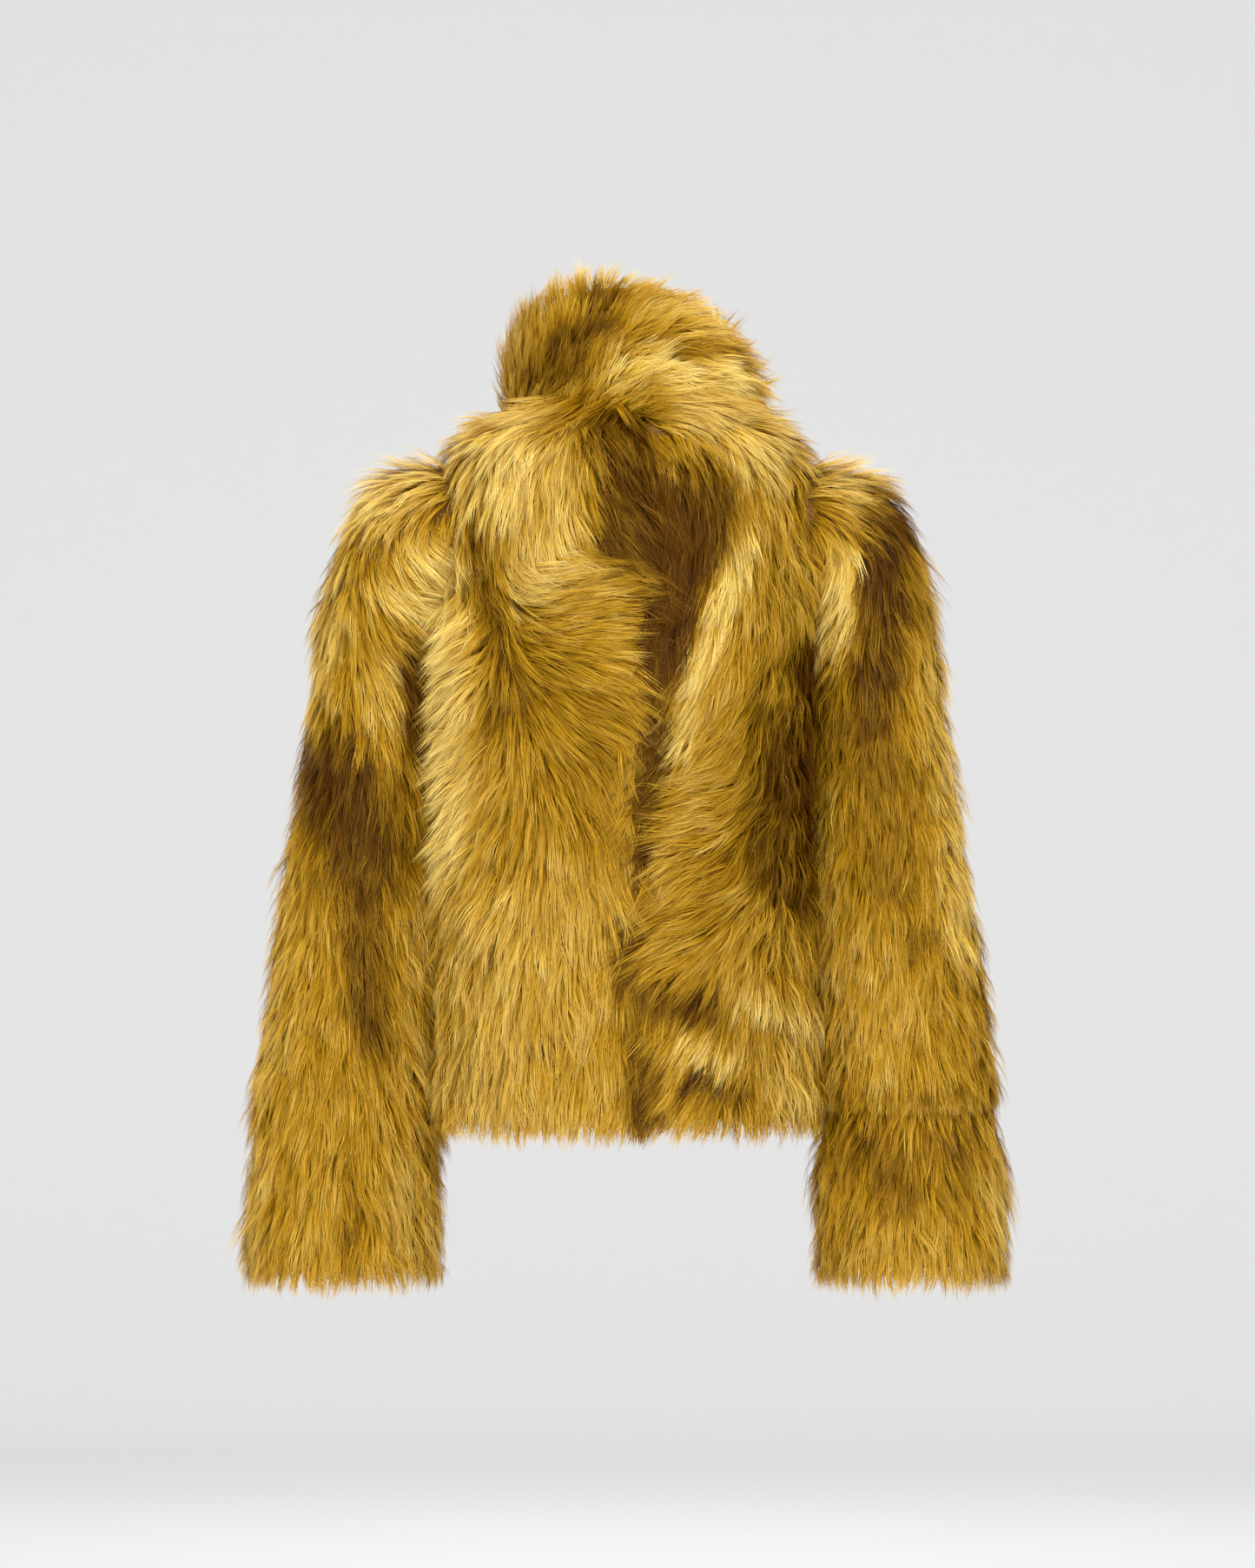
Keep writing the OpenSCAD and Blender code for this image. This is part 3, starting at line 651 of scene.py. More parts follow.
def lock_mesh(index, sizes):
    """One lock: a few flat tapered strands that rise from the pelt, lie down along +Y and close to a point."""
    rng = np.random.default_rng(SEED * 100 + index)
    points, faces, along, shade = [], [], [], []
    bend = rng.uniform(-2.6, 2.6) * MM
    phase = rng.uniform(0, 2 * math.pi)
    height = sizes.lock_height * rng.uniform(0.8, 1.15)
    tip_x = rng.uniform(-3, 3) * MM
    for _ in range(sizes.strands):
        root = rng.uniform(-1, 1, 2) * sizes.lock_root
        reach = LOCK_LENGTH * rng.uniform(0.8, 1.08)
        width = sizes.strand_width * rng.uniform(0.75, 1.25)
        roll = rng.uniform(-0.5, 0.5)
        stray = rng.normal(0, 0.9 * MM, 2)
        tint = rng.uniform(-0.5, 0.5)
        s = np.array(STRAND_PLACES)
        hug = s ** 1.2 * sizes.gather
        x = root[0] * (1 - hug) + tip_x * hug
        x = x + bend * np.sin(2.4 * math.pi * s * 0.5 + phase) * s + stray[0] * s
        y = root[1] * (1 - hug) + reach * s
        z = height * (1 - (1 - s) ** 2.3) * (1 - 0.35 * s**2) + stray[1] * s
        line = np.stack([x, y, z], -1)
        forward = unit(np.gradient(line, axis=0))
        flat = unit(np.cross(forward, [0, 0, 1.0]))
        up = np.cross(flat, forward)
        out = flat * math.cos(roll) + up * math.sin(roll)
        taper = np.array([0.8, 1.0, 0.72])[:, None] * width / 2
        first = len(points)
        for k in range(3):
            points += [line[k] - out[k] * taper[k], line[k] + out[k] * taper[k]]
            along += [s[k]] * 2
            shade += [tint] * 2
        points.append(line[3])
        along.append(1.0)
        shade.append(tint)
        for k in range(2):
            a = first + 2 * k
            faces.append((a, a + 1, a + 3, a + 2))
        faces.append((first + 4, first + 5, first + 6))
    obj = add_mesh(f"lock_{index:02d}", points, faces)
    bpy.context.scene.collection.objects.unlink(obj)
    for name, values in (("along", along), ("shade", shade)):
        obj.data.attributes.new(name, "FLOAT", "POINT").data.foreach_set("value", values)
    return obj


def lock_collection(sizes):
    collection = bpy.data.collections.get("locks") or bpy.data.collections.new("locks")
    if not collection.objects:
        for index in range(LOCK_KINDS):
            collection.objects.link(lock_mesh(index, sizes))
    return collection


def pile_tree():
    """Geometry Nodes that plant locks on a skin and lay them the way it is combed."""
    name = "Plant fur locks"
    if name in bpy.data.node_groups:
        return bpy.data.node_groups[name]
    tree = bpy.data.node_groups.new(name, "GeometryNodeTree")
    sockets = tree.interface
    sockets.new_socket("Geometry", in_out="OUTPUT", socket_type="NodeSocketGeometry")
    for label, kind in (("Geometry", "Geometry"), ("Spacing", "Float"), ("Untidiness", "Float"),
                        ("Pitch", "Float"),
                        ("Seed", "Int"), ("Locks", "Collection"), ("Hair", "Material")):
        sockets.new_socket(label, in_out="INPUT", socket_type=f"NodeSocket{kind}")
    given = add(tree, "NodeGroupInput").outputs

    def read(attribute, kind="FLOAT"):
        return add(tree, "GeometryNodeInputNamedAttribute", {"data_type": kind},
                   {"Name": attribute}).outputs["Attribute"]

    def chance(low, high, step, kind="FLOAT"):
        first = {"FLOAT_VECTOR": 0, "FLOAT": 2, "INT": 4}[kind]
        seed = add(tree, "ShaderNodeMath", inputs={0: given["Seed"], 1: float(step)}).outputs[0]
        node = add(tree, "FunctionNodeRandomValue", {"data_type": kind},
                   {first: low, first + 1: high, "Seed": seed})
        return node.outputs[first // 2]

    def maths(operation, a, b):
        return add(tree, "ShaderNodeMath", {"operation": operation}, {0: a, 1: b}).outputs[0]

    def vectors(operation, a, b):
        return add(tree, "ShaderNodeVectorMath", {"operation": operation}, {0: a, 1: b}).outputs[0]

    crowd = maths("DIVIDE", 1.4, maths("MULTIPLY", given["Spacing"], given["Spacing"]))
    planted = add(tree, "GeometryNodeDistributePointsOnFaces", {"distribute_method": "POISSON"},
                  {"Mesh": given["Geometry"], "Distance Min": given["Spacing"], "Density Max": crowd,
                   "Density Factor": read("cover"), "Seed": given["Seed"]})
    stray = add(tree, "ShaderNodeVectorMath", {"operation": "SCALE"},
                {0: chance((-1.0,) * 3, (1.0,) * 3, 1, "FLOAT_VECTOR"),
                 "Scale": given["Untidiness"]}).outputs[0]
    lie = vectors("ADD", read("comb", "FLOAT_VECTOR"), stray)
    stand = add(tree, "FunctionNodeAxesToRotation", {"primary_axis": "Y", "secondary_axis": "Z"},
                {"Primary Axis": lie, "Secondary Axis": planted.outputs["Normal"]}).outputs[0]
    tilt = maths("MULTIPLY", chance(-1.0, 1.0, 2), given["Pitch"])
    nod = add(tree, "FunctionNodeAxisAngleToRotation",
              inputs={"Axis": (1.0, 0.0, 0.0), "Angle": tilt}).outputs[0]
    turned = add(tree, "FunctionNodeRotateRotation", {"rotation_space": "LOCAL"},
                 {"Rotation": stand, "Rotate By": nod})
    size = add(tree, "ShaderNodeCombineXYZ",
               inputs={"X": chance(0.8, 1.25, 3), "Y": maths("MULTIPLY", read("length"), chance(0.78, 1.14, 4)),
                       "Z": maths("MULTIPLY", read("lift"), chance(0.8, 1.15, 5))}).outputs[0]
    shapes = add(tree, "GeometryNodeCollectionInfo",
                 inputs={"Collection": given["Locks"], "Separate Children": True,
                                                             "Reset Children": True})
    placed = add(tree, "GeometryNodeInstanceOnPoints", inputs={
        "Points": planted.outputs["Points"], "Instance": shapes.outputs["Instances"], "Pick Instance": True,
        "Instance Index": chance(0, LOCK_KINDS - 1, 6, "INT"), "Rotation": turned.outputs[0], "Scale": size})
    toned = add(tree, "GeometryNodeStoreNamedAttribute", {"data_type": "FLOAT", "domain": "INSTANCE"},
                {"Geometry": placed.outputs[0], "Name": "tone",
                 "Value": maths("ADD", read("tone"), chance(-0.08, 0.08, 7))})
    real = add(tree, "GeometryNodeRealizeInstances", inputs={"Geometry": toned.outputs[0]})
    worn = add(tree, "GeometryNodeSetMaterial", inputs={"Geometry": real.outputs[0], "Material": given["Hair"]})
    add(tree, "NodeGroupOutput", inputs={"Geometry": worn.outputs[0]})
    return tree


def set_inputs(modifier, values):
    """Sets a Geometry Nodes modifier's inputs, by their sockets' identifiers."""
    for item in modifier.node_group.interface.items_tree:
        if item.in_out == "INPUT" and item.name in values:
            modifier[item.identifier] = values[item.name]


def made_real(obj, name):
    """The plain mesh that obj's modifiers give, as a new object; obj is deleted."""
    graph = bpy.context.evaluated_depsgraph_get()
    mesh = bpy.data.meshes.new_from_object(obj.evaluated_get(graph), preserve_all_data_layers=True,
                                           depsgraph=graph)
    bpy.data.objects.remove(obj)
    mesh.name = name
    piece = bpy.data.objects.new(name, mesh)
    bpy.context.scene.collection.objects.link(piece)
    return piece


def numbers(mesh, attribute):
    values = np.zeros(len(mesh.attributes[attribute].data), np.float32)
    mesh.attributes[attribute].data.foreach_get("value", values)
    return values


def palette_map(mesh):
    """Lays the OFBake UV map out by tone across and root to tip upwards: the hair's colour depends on those."""
    tone = np.clip(numbers(mesh, "tone") + 0.14 * numbers(mesh, "shade"), 0.01, 0.99)
    along = np.clip(numbers(mesh, "along"), 0.01, 0.99)
    corner = np.zeros(len(mesh.loops), np.int32)
    mesh.loops.foreach_get("vertex_index", corner)
    for old in list(mesh.uv_layers):
        mesh.uv_layers.remove(old)
    layer = mesh.uv_layers.new(name="OFBake")
    layer.data.foreach_set("uv", np.stack([tone[corner], along[corner]], -1).ravel())
    for name in ("comb", "cover", "length", "lift", "tone", "along", "shade"):
        if name in mesh.attributes:
            mesh.attributes.remove(mesh.attributes[name])


# How high the pile laps over the base of the collar behind, across the back from the wearer's right to left.
LAP_RISE = [(-104 * MM, 9 * MM), (-60 * MM, 23 * MM), (-20 * MM, 28 * MM), (16 * MM, 17 * MM),
            (60 * MM, 17 * MM),
            (104 * MM, 9 * MM)]


def lapped_over_neck(skin, normals, patch):
    """The skin and its normals with rows added above its top, so that the pile laps over the collar's base."""
    if patch.kind != "body" or patch.w0 > 0:
        return skin, normals
    top = skin[0]
    behind = ease(top[:, 1] / NECK_HALF_D + 0.2)
    rise = 7 * MM * (1 - behind) + smooth(top[:, 0], LAP_RISE) * behind
    outward = unit(top * np.array([1, 1, 0]))
    rows = [top + (outward * 9 * MM + np.array([0, 0, 1]) * rise[:, None]) * k / 5 for k in (5, 4, 3, 2, 1)]
    return np.concatenate([np.array(rows), skin]), np.concatenate([np.repeat(normals[1:2], 5, axis=0), normals])


def facing_inwards(patch, points, normals):
    """Where a sleeve faces the body, or the body a sleeve, from 0 to 1."""
    towards = -normals[..., 0] * patch.side if patch.kind == "sleeve" else np.abs(normals[..., 0])
    if patch.kind == "collar":
        return np.zeros(points.shape[:-1])
    return ease((towards - 0.45) / 0.4) * ease((-points[..., 2] - 60 * MM) / (40 * MM))


def trimmed(patch, points, comb, length):
    """Hair lengths, cut where the body's pile meets a sleeve and the right sleeve's meets its cuff band."""
    if patch.kind == "body":
        shoulder = ease((points[:,
                                2] + 75 * MM) / (40 * MM)) * ease((np.abs(points[:, 0]) - 85 * MM) / (25 * MM))
        length = length * (1 - 0.35 * shoulder)
        room = HALF_W + 9 * MM - np.abs(points[:, 0])
        outward = comb[:, 0] * np.sign(points[:, 0])
        below_shoulder = points[:, 2] < -110 * MM
        reach = np.where((outward > 0.3) & below_shoulder, room / np.maximum(outward, 0.3), 1.0)
        return np.minimum(length, np.maximum(reach, 13 * MM))
    if patch.kind == "sleeve" and patch.side < 0:
        above = points[:, 2] - (BAND_Z + 4 * MM)
        return np.where((above > 0) & (above < 60 * MM), np.minimum(length, above + 9 * MM), length)
    return length


def plant_pile(name, patch, root_depth, length, lift, spacing, untidy, seed):
    """Grows a panel's pile from a skin at root_depth."""
    sizes = bpy.context.scene.jacket_sizes
    skin = patch.grid(root_depth)
    skin, normals = lapped_over_neck(skin, patch.normals(skin), patch)
    keep = clear_of_armhole(patch, skin, HEAD_R - 20 * MM)
    skin = skin + normals * (relief(skin) - seam_dip(patch, skin))[..., None]
    flat, flat_normals = skin.reshape(-1, 3), normals.reshape(-1, 3)
    comb, tone = combed(flat, flat_normals, patch.kind)
    raised = lift * (1 + 0.22 * ripple(flat, 24 * MM, SEED + 5))
    raised = raised * (1 + 0.7 * facing_inwards(patch, flat, flat_normals))
    grown = np.clip(length(flat) if callable(length) else np.full(len(flat), length), 8 * MM, None)
    grown = trimmed(patch, flat, comb, grown)
    cover = 0.7 + 0.3 * ease((flat_normals[:, 1] + 0.5) / 0.6)
    grid = add_mesh(f"{name}_skin", flat, patch.quads(skin.shape[:2], keep))
    for label, values in (("tone", tone), ("lift", raised), ("length", grown / LOCK_LENGTH), ("cover", cover)):
        grid.data.attributes.new(label, "FLOAT", "POINT").data.foreach_set("value", values)
    grid.data.attributes.new("comb", "FLOAT_VECTOR", "POINT").data.foreach_set("vector", comb.ravel())
    modifier = grid.modifiers.new("Pile", "NODES")
    modifier.node_group = pile_tree()
    set_inputs(modifier, {"Spacing": spacing, "Untidiness": untidy, "Pitch": 0.12, "Seed": seed,
                          "Locks": lock_collection(sizes), "Hair": finish_of("pile")})
    piece = made_real(grid, name)
    palette_map(piece.data)
    return piece


def relief(points):
    """The pelt's soft hills and hollows."""
    return (1.6 * ripple(points, 70 * MM, SEED + 6) + 0.9 * ripple(points, 26 * MM, SEED + 7)) * MM


# How far to the right the left back's pile laps at each distance below the neck.
CENTRE_GROOVE = [(-30 * MM, -8 * MM), (0, -9 * MM), (272 * MM, -18 * MM), (439 * MM, -5 * MM),
                 (570 * MM, -9 * MM)]


# Where the back of the armholes pinches the pelt: x, z and how wide, in millimetres.
PINCHES = [(105, -105, 15), (88, -212, 14), (-162, -139, 16)]


def seam_dip(patch, points):
    """How deep the skin dips at the centre back seam, the pinches, the shoulders and a cuff band."""
    dip = np.zeros(points.shape[:-1])
    across, height = np.abs(points[..., 0]), points[..., 2]
    if patch.kind == "body":
        behind = ease(points[..., 1] / (40 * MM))
        groove = smooth(-height, CENTRE_GROOVE)
        dip += 7 * MM * np.exp(-(((points[..., 0] - groove) / (6 * MM)) ** 2)) * behind
        for x, z, wide in PINCHES:
            far = ((points[..., 0] / MM - x) ** 2 + (height / MM - z) ** 2) / wide**2
            dip += 6 * MM * np.exp(-far) * behind
        dip += 5 * MM * ease((height + 70 * MM) / (40 * MM)) * ease((across - 92 * MM) / (22 * MM))
    if patch.kind != "collar":  # the pile lies flatter on top of the shoulders
        dip += 9 * MM * ease((height + 115 * MM) / (50 * MM)) * ease((across - 135 * MM) / (45 * MM))
    if patch.kind == "sleeve" and patch.side < 0:  # the right cuff band is set in below the sleeve's pile
        dip += 4.5 * MM * np.exp(-(((height - BAND_Z + 7 * MM) / (9 * MM)) ** 2))
    return dip


# ---------------------------------------------------------------- panels


@dataclass
class Panel:
    """A fur panel: its name, its stretch of surface, what it rides on and the CAD nodes it stands for."""

    name: str
    patch: Patch
    nodes: tuple
    body: str = "root"
    bend: tuple = None
    wall: float = BODY_WALL
    spacing: float = 3.2 * MM
    parts: int = 1


def attach(piece, panel):
    if panel.bend:
        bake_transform(piece)
    else:
        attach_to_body(piece, panel.body)


def make_panel(panel, length, lift, untidy, seed):
    """A pelt with its undercoat, and the locks that stand on it."""
    patch = panel.patch
    outer = patch.grid(panel.wall * 0.52)
    normals = patch.normals(outer)
    keep = clear_of_armhole(patch, outer, HEAD_R - 4 * MM)
    outer = outer + normals * (relief(outer) - seam_dip(patch, outer) * 0.8)[..., None]
    inner = patch.grid(panel.wall - 0.5 * MM)
    pelt = shell(f"{panel.name}_pelt", patch, outer, inner, keep)
    pelt.data.materials.append(finish_of("undercoat"))
    attach(pelt, panel)
    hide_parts(*panel.nodes)
    levels = np.linspace(patch.w0, patch.w1, panel.parts + 1)
    for k, (w0, w1) in enumerate(zip(levels, levels[1:])):
        stretch = replace(patch, w0=float(w0), w1=float(w1))
        pile = plant_pile(f"{panel.name}_pile_{k + 1}", stretch, panel.wall * 0.6, length, lift, panel.spacing,
                          untidy,
                          seed + 100 * k)
        attach(pile, panel)
        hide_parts(*panel.nodes)


def body_panels(side_name):
    side = SIDES[side_name]
    hem = 8.9
    bend = front_bend(side_name)
    return [
        Panel(f"back_{side_name}", Patch("body", side, 49, 90, 0, hem), (f"back_panel_{side_name}",),
              spacing=2.55 * MM,
              parts=2),
        Panel(f"side_back_{side_name}", Patch("body", side, 0, 49, 0, hem), (f"side_back_{side_name}",),
              spacing=2.9 * MM),
        Panel(f"side_front_{side_name}", Patch("body", side, -40, 0, 0, hem), (f"side_front_{side_name}",),
              spacing=4.2 * MM),
        Panel(f"front_{side_name}", Patch("body", side, -89.96, -40, 0, hem),
              (f"front_yoke_{side_name}", f"front_panel_{side_name}"), bend=bend, spacing=4.3 * MM),
    ]


SLEEVE_SPLIT = 5.5


def sleeve_bends(side_name):
    """The shoulder's and the elbow's bends: the two bodies, and where the turn starts and ends."""
    side = SIDES[side_name]
    shoulder = ("root", f"upper_sleeve_{side_name}", (side * 140 * MM, 0, -92 * MM),
                (side * 196 * MM, 0, -200 * MM))
    elbow = (f"upper_sleeve_{side_name}", f"lower_sleeve_{side_name}",
             (side * ELBOW.x, 0, ELBOW.z + 75 * MM), (side * ELBOW.x, 0, ELBOW.z - 75 * MM))
    return shoulder, elbow


def sleeve_panels(side_name):
    side = SIDES[side_name]
    shoulder, elbow = sleeve_bends(side_name)
    upper, lower = f"upper_sleeve_{side_name}", f"lower_sleeve_{side_name}"
    both = {"wall": SLEEVE_WALL, "spacing": 2.75 * MM}
    return [
        Panel(f"upper_sleeve_outer_{side_name}", Patch("sleeve", side, -90, 90, 0, SLEEVE_SPLIT),
              (f"upper_sleeve_outer_{side_name}",), bend=shoulder, **both),
        Panel(f"upper_sleeve_under_{side_name}", Patch("sleeve", side, 90, 270, 0, SLEEVE_SPLIT),
              (f"upper_sleeve_under_{side_name}",), bend=shoulder, **both),
        Panel(f"lower_sleeve_outer_{side_name}", Patch("sleeve", side, -90, 90, SLEEVE_SPLIT, 9),
              (f"lower_sleeve_outer_{side_name}",), bend=elbow, **both),
        Panel(f"lower_sleeve_under_{side_name}", Patch("sleeve", side, 90, 270, SLEEVE_SPLIT, 9),
              (f"lower_sleeve_under_{side_name}",), bend=elbow, **both),
        Panel(f"cuff_band_{side_name}", Patch("sleeve", side, -180, 180, 9, 9.9), (f"cuff_band_{side_name}",),
              body=lower, **both),
    ]


def collar_panels():
    both = {"wall": COLLAR_WALL, "spacing": 2.6 * MM}
    return [
        Panel("collar_back", Patch("collar", 1, 30, 150, -0.12, 0.9), ("collar_back",), **both),
        Panel("collar_left", Patch("collar", 1, -89.96, 30, -0.14, 0.9), ("collar_left",), **both),
        Panel("collar_right", Patch("collar", -1, -89.96, 30, -0.14, 0.9), ("collar_right",), **both),
    ]


# ---------------------------------------------------------------- linings, facings, tapes and pads

FACING_D = BODY_WALL + 1.6 * MM
LINING_D = FACING_D + 3.4 * MM
PAD_D = FACING_D - 0.8 * MM
SHOULDER_LINING_D = FACING_D + 9.6 * MM
NECK_FACING_D = SHOULDER_LINING_D + 3.2 * MM
SLEEVE_LINING_D = SLEEVE_WALL + 1.6 * MM
COLLAR_FACING_D = COLLAR_WALL + 1.6 * MM
COLLAR_STAY_D = COLLAR_FACING_D + 3.4 * MM


@dataclass
class Layer:
    """A thin layer: its node, its stretch of surface, its depth, its thickness and its finish."""

    node: str
    patch: Patch
    depth: object
    thick: float
    finish: str
    slot: str
    body: str = "root"
    bend: tuple = None
    held: str = "hung"
    ease: float = 0.03
    crumple: float = 0.0


def body_lining_depth(u, w):
    return SHOULDER_LINING_D + (LINING_D - SHOULDER_LINING_D) * ease((w - 2.2) / 1.0)


def deeper(depth, by):
    return (lambda u, w: depth(u, w) + by(u, w) if callable(by) else depth(u, w) + by) if callable(depth) else (
        (lambda u, w: depth + by(u, w)) if callable(by) else depth + by)


def cut_size(patch, depth, allowance):
    """The flat size of a layer's cut: its widest and its longest measure, and its area, with its ease."""
    points = patch.grid(depth)
    across = np.linalg.norm(np.diff(points, axis=1), axis=-1)
    along = np.linalg.norm(np.diff(points, axis=0), axis=-1)
    area = (across[:-1] + across[1:]) / 2 * (along[:, :-1] + along[:, 1:]) / 2
    grow = 1 + allowance
    width, length = across.sum(1).max() * grow, along.sum(0).max() * grow
    return (float(width), float(length)), float(min(area.sum() * grow, width * length))


def make_layer(layer):
    """A thin closed layer of cloth, leather or tape, creased where it hangs loose."""
    patch = layer.patch
    outer = patch.grid(layer.depth)
    inner = patch.grid(deeper(layer.depth, layer.thick))
    normals = patch.normals(outer)
    if layer.crumple:
        loose = outer * np.array([1, 1, 0.22])
        crease = ripple(loose, 46 * MM, SEED + 21) + 0.5 * ripple(loose, 17 * MM, SEED + 22)
        crease = -layer.crumple * np.abs(crease)
        outer, inner = (g + normals * crease[..., None] for g in (outer, inner))
    keep = clear_of_armhole(patch, outer, HEAD_R + 1 * MM)
    piece = shell(f"{layer.node}_cloth", patch, outer, inner, keep)
    piece.data.materials.append(finish_of(layer.finish))
    attach(piece, layer)
    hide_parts(layer.node)
    flat, area = cut_size(patch, layer.depth, layer.ease)
    if keep is not None:
        area = max(area * float(keep.mean()), 0.31 * flat[0] * flat[1])
    return piece


def make_pad(name, patch, depth, thick, node, body="root", bend=None, radius=HEAD_R + 2 * MM):
    """A crowned pad of wadding that thins to its edges."""
    def crown(u, w):
        a = (u - patch.u0) / (patch.u1 - patch.u0)
        b = (w - patch.w0) / (patch.w1 - patch.w0)
        return 0.8 * MM + (thick - 1.2 * MM) * (np.sin(math.pi * a) * np.sin(math.pi * b)) ** 0.5

    outer, inner = patch.grid(depth), patch.grid(deeper(depth, crown))
    pad = shell(name, patch, outer, inner, clear_of_armhole(patch, outer, radius))
    pad.data.materials.append(finish_of("wadding"))
    if bend:
        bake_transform(pad)
    else:
        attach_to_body(pad, body)
    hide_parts(node)


def front_bend(side_name):
    """The fold at the front: the two bodies, and where the turn starts and ends."""
    side = SIDES[side_name]
    return ("root", f"front_{side_name}", (side * (FOLD.x - 2 * MM), FOLD.y, -100 * MM),
            (side * (FOLD.x - 60 * MM), FOLD.y - 20 * MM, -190 * MM))


def body_layers():
    satin = {"finish": "satin", "slot": "lining_satin", "crumple": 1.3 * MM, "ease": 0.06}
    hide = {"finish": "leather", "slot": "pelt_leather"}
    tape = {"finish": "tape", "slot": "stay_tape", "ease": 0.01}
    low, top, turn = 8.65, 0.3, 8.05
    layers = [
        Layer("back_lining", Patch("body", 1, 49, 131, top, low), body_lining_depth, 1.6 * MM, **satin),
        Layer("hem_facing_back", Patch("body", 1, 49, 131, turn, 8.88), FACING_D, 1.8 * MM, **hide),
        Layer("centre_back_tape", Patch("body", 1, 88, 92, 0.4, 8.2), PAD_D, 1.2 * MM, **tape),
        Layer("back_neck_facing", Patch("body", 1, 56, 124, top, 1.6), NECK_FACING_D, 1.8 * MM, **hide),
        Layer("collar_facing", Patch("collar", 1, -89.9, 269.9, 0.03, 0.9), COLLAR_FACING_D, 1.8 * MM,
              held="stretched",
              **hide),
        Layer("collar_stay", Patch("collar", 1, -88, 268, 0.03, 0.16), COLLAR_STAY_D, 1.2 * MM,
              held="stretched", **tape),
    ]
    for side_name, side in SIDES.items():
        bend = front_bend(side_name)
        layers += [
            Layer(f"side_lining_{side_name}", Patch("body", side, -40, 49, top, low), body_lining_depth,
                  1.6 * MM, **satin),
            Layer(f"hem_facing_{side_name}", Patch("body", side, -40, 49, turn, 8.88), FACING_D, 1.8 * MM,
                  **hide),
            Layer(f"yoke_lining_{side_name}", Patch("body", side, -86, -40, top, 4.2), body_lining_depth,
                  1.6 * MM,
                  bend=bend, **satin),
            Layer(f"front_lining_{side_name}", Patch("body", side, -72, -40, 4.25, low), LINING_D, 1.6 * MM,
                  bend=bend,
                  **satin),
            Layer(f"front_facing_{side_name}", Patch("body", side, -89.9, -74, 4.25, turn - 0.1), FACING_D,
                  1.8 * MM,
                  bend=bend, **hide),
            Layer(f"front_hem_facing_{side_name}", Patch("body", side, -89.9, -40.4, turn, 8.88), FACING_D,
                  1.8 * MM,
                  bend=bend, **hide),
        ]
    return layers


def sleeve_layers():
    layers = []
    for side_name, side in SIDES.items():
        shoulder, elbow = sleeve_bends(side_name)
        satin = {"finish": "satin", "slot": "lining_satin", "crumple": 1.2 * MM, "ease": 0.06}
        layers += [
            Layer(f"upper_sleeve_lining_{side_name}", Patch("sleeve", side, -178, 178, 1.3, SLEEVE_SPLIT),
                  SLEEVE_LINING_D, 1.6 * MM, bend=shoulder, **satin),
            Layer(f"lower_sleeve_lining_{side_name}", Patch("sleeve", side, -178, 178, SLEEVE_SPLIT, 9.7),
                  SLEEVE_LINING_D, 1.6 * MM, bend=elbow, **satin),
            Layer(f"cuff_facing_{side_name}", Patch("sleeve", side, -178, 178, 9.72, 9.88), SLEEVE_LINING_D,
                  1.8 * MM,
                  "leather", "pelt_leather", body=f"lower_sleeve_{side_name}"),
        ]
    return layers


def make_hanger_loop():
    """A ribbon loop sewn in at both ends, hanging in a shallow curve."""
    low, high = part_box("hanger_loop")
    y, half = (low.y + high.y) / 2, (high.x - low.x) / 2 - 3 * MM
    angles = np.linspace(0, math.pi, 33)
    path = np.stack([-half * np.cos(angles), np.full(33, y), high.z - 1 * MM
                     - (high.z - low.z - 4 * MM) * np.sin(angles) ** 0.7], -1)
    forward = unit(np.gradient(path, axis=0))
    across = unit(np.cross(forward, [0, 1.0, 0]))
    corners = []
    for place, way in zip(path, across):
        for a, b in ((-2.2, -0.4), (2.2, -0.4), (2.2, 0.4), (-2.2, 0.4)):
            corners.append(place + way * a * MM + np.array([0, b * MM, 0]))
    faces = []
    for k in range(len(path) - 1):
        for i in range(4):
            j = (i + 1) % 4
            faces.append((4 * k + i, 4 * k + j, 4 * k + 4 + j, 4 * k + 4 + i))
    faces += [(3, 2, 1, 0), tuple(4 * (len(path) - 1) + i for i in range(4))]
    loop = add_mesh("hanger_ribbon", corners, faces, smooth_faces=False)
    loop.data.materials.append(finish_of("satin"))
    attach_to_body(loop, "hanger_loop")
    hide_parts("hanger_loop")


# ---------------------------------------------------------------- what a user may change


def length_of(name, description, default):
    return FloatProperty(name=name, description=description, default=default, unit="LENGTH")


def share_of(name, description, default):
    return FloatProperty(name=name, description=description, default=default, subtype="FACTOR")


def colour_of(name, description, default):
    return StringProperty(name=name, description=f"sRGB hex of {description}", default=default)


class JacketSizes(bpy.types.PropertyGroup):
    body_pile: length_of("Body pile", "Length of the hair on the body", 46 * MM)
    sleeve_pile: length_of("Sleeve pile", "Length of the hair on the sleeves", 40 * MM)
    collar_pile: length_of("Collar pile", "Length of the hair on the collar", 38 * MM)
    lock_height: length_of("Lock height", "How high a lock rises before it lies down", 9.5 * MM)
    lock_root: length_of("Lock root", "How far apart a lock's hairs start", 3.0 * MM)
    strand_width: length_of("Strand width", "Width of one strand of a lock", 0.5 * MM)
    gather: share_of("Gather", "How far a lock's hairs draw together at the tip", 0.32)
    strands: IntProperty(name="Strands", description="Number of strands in a lock", default=8, min=1, max=9)
    untidiness: share_of("Untidiness", "How far locks stray from the comb", 0.2)


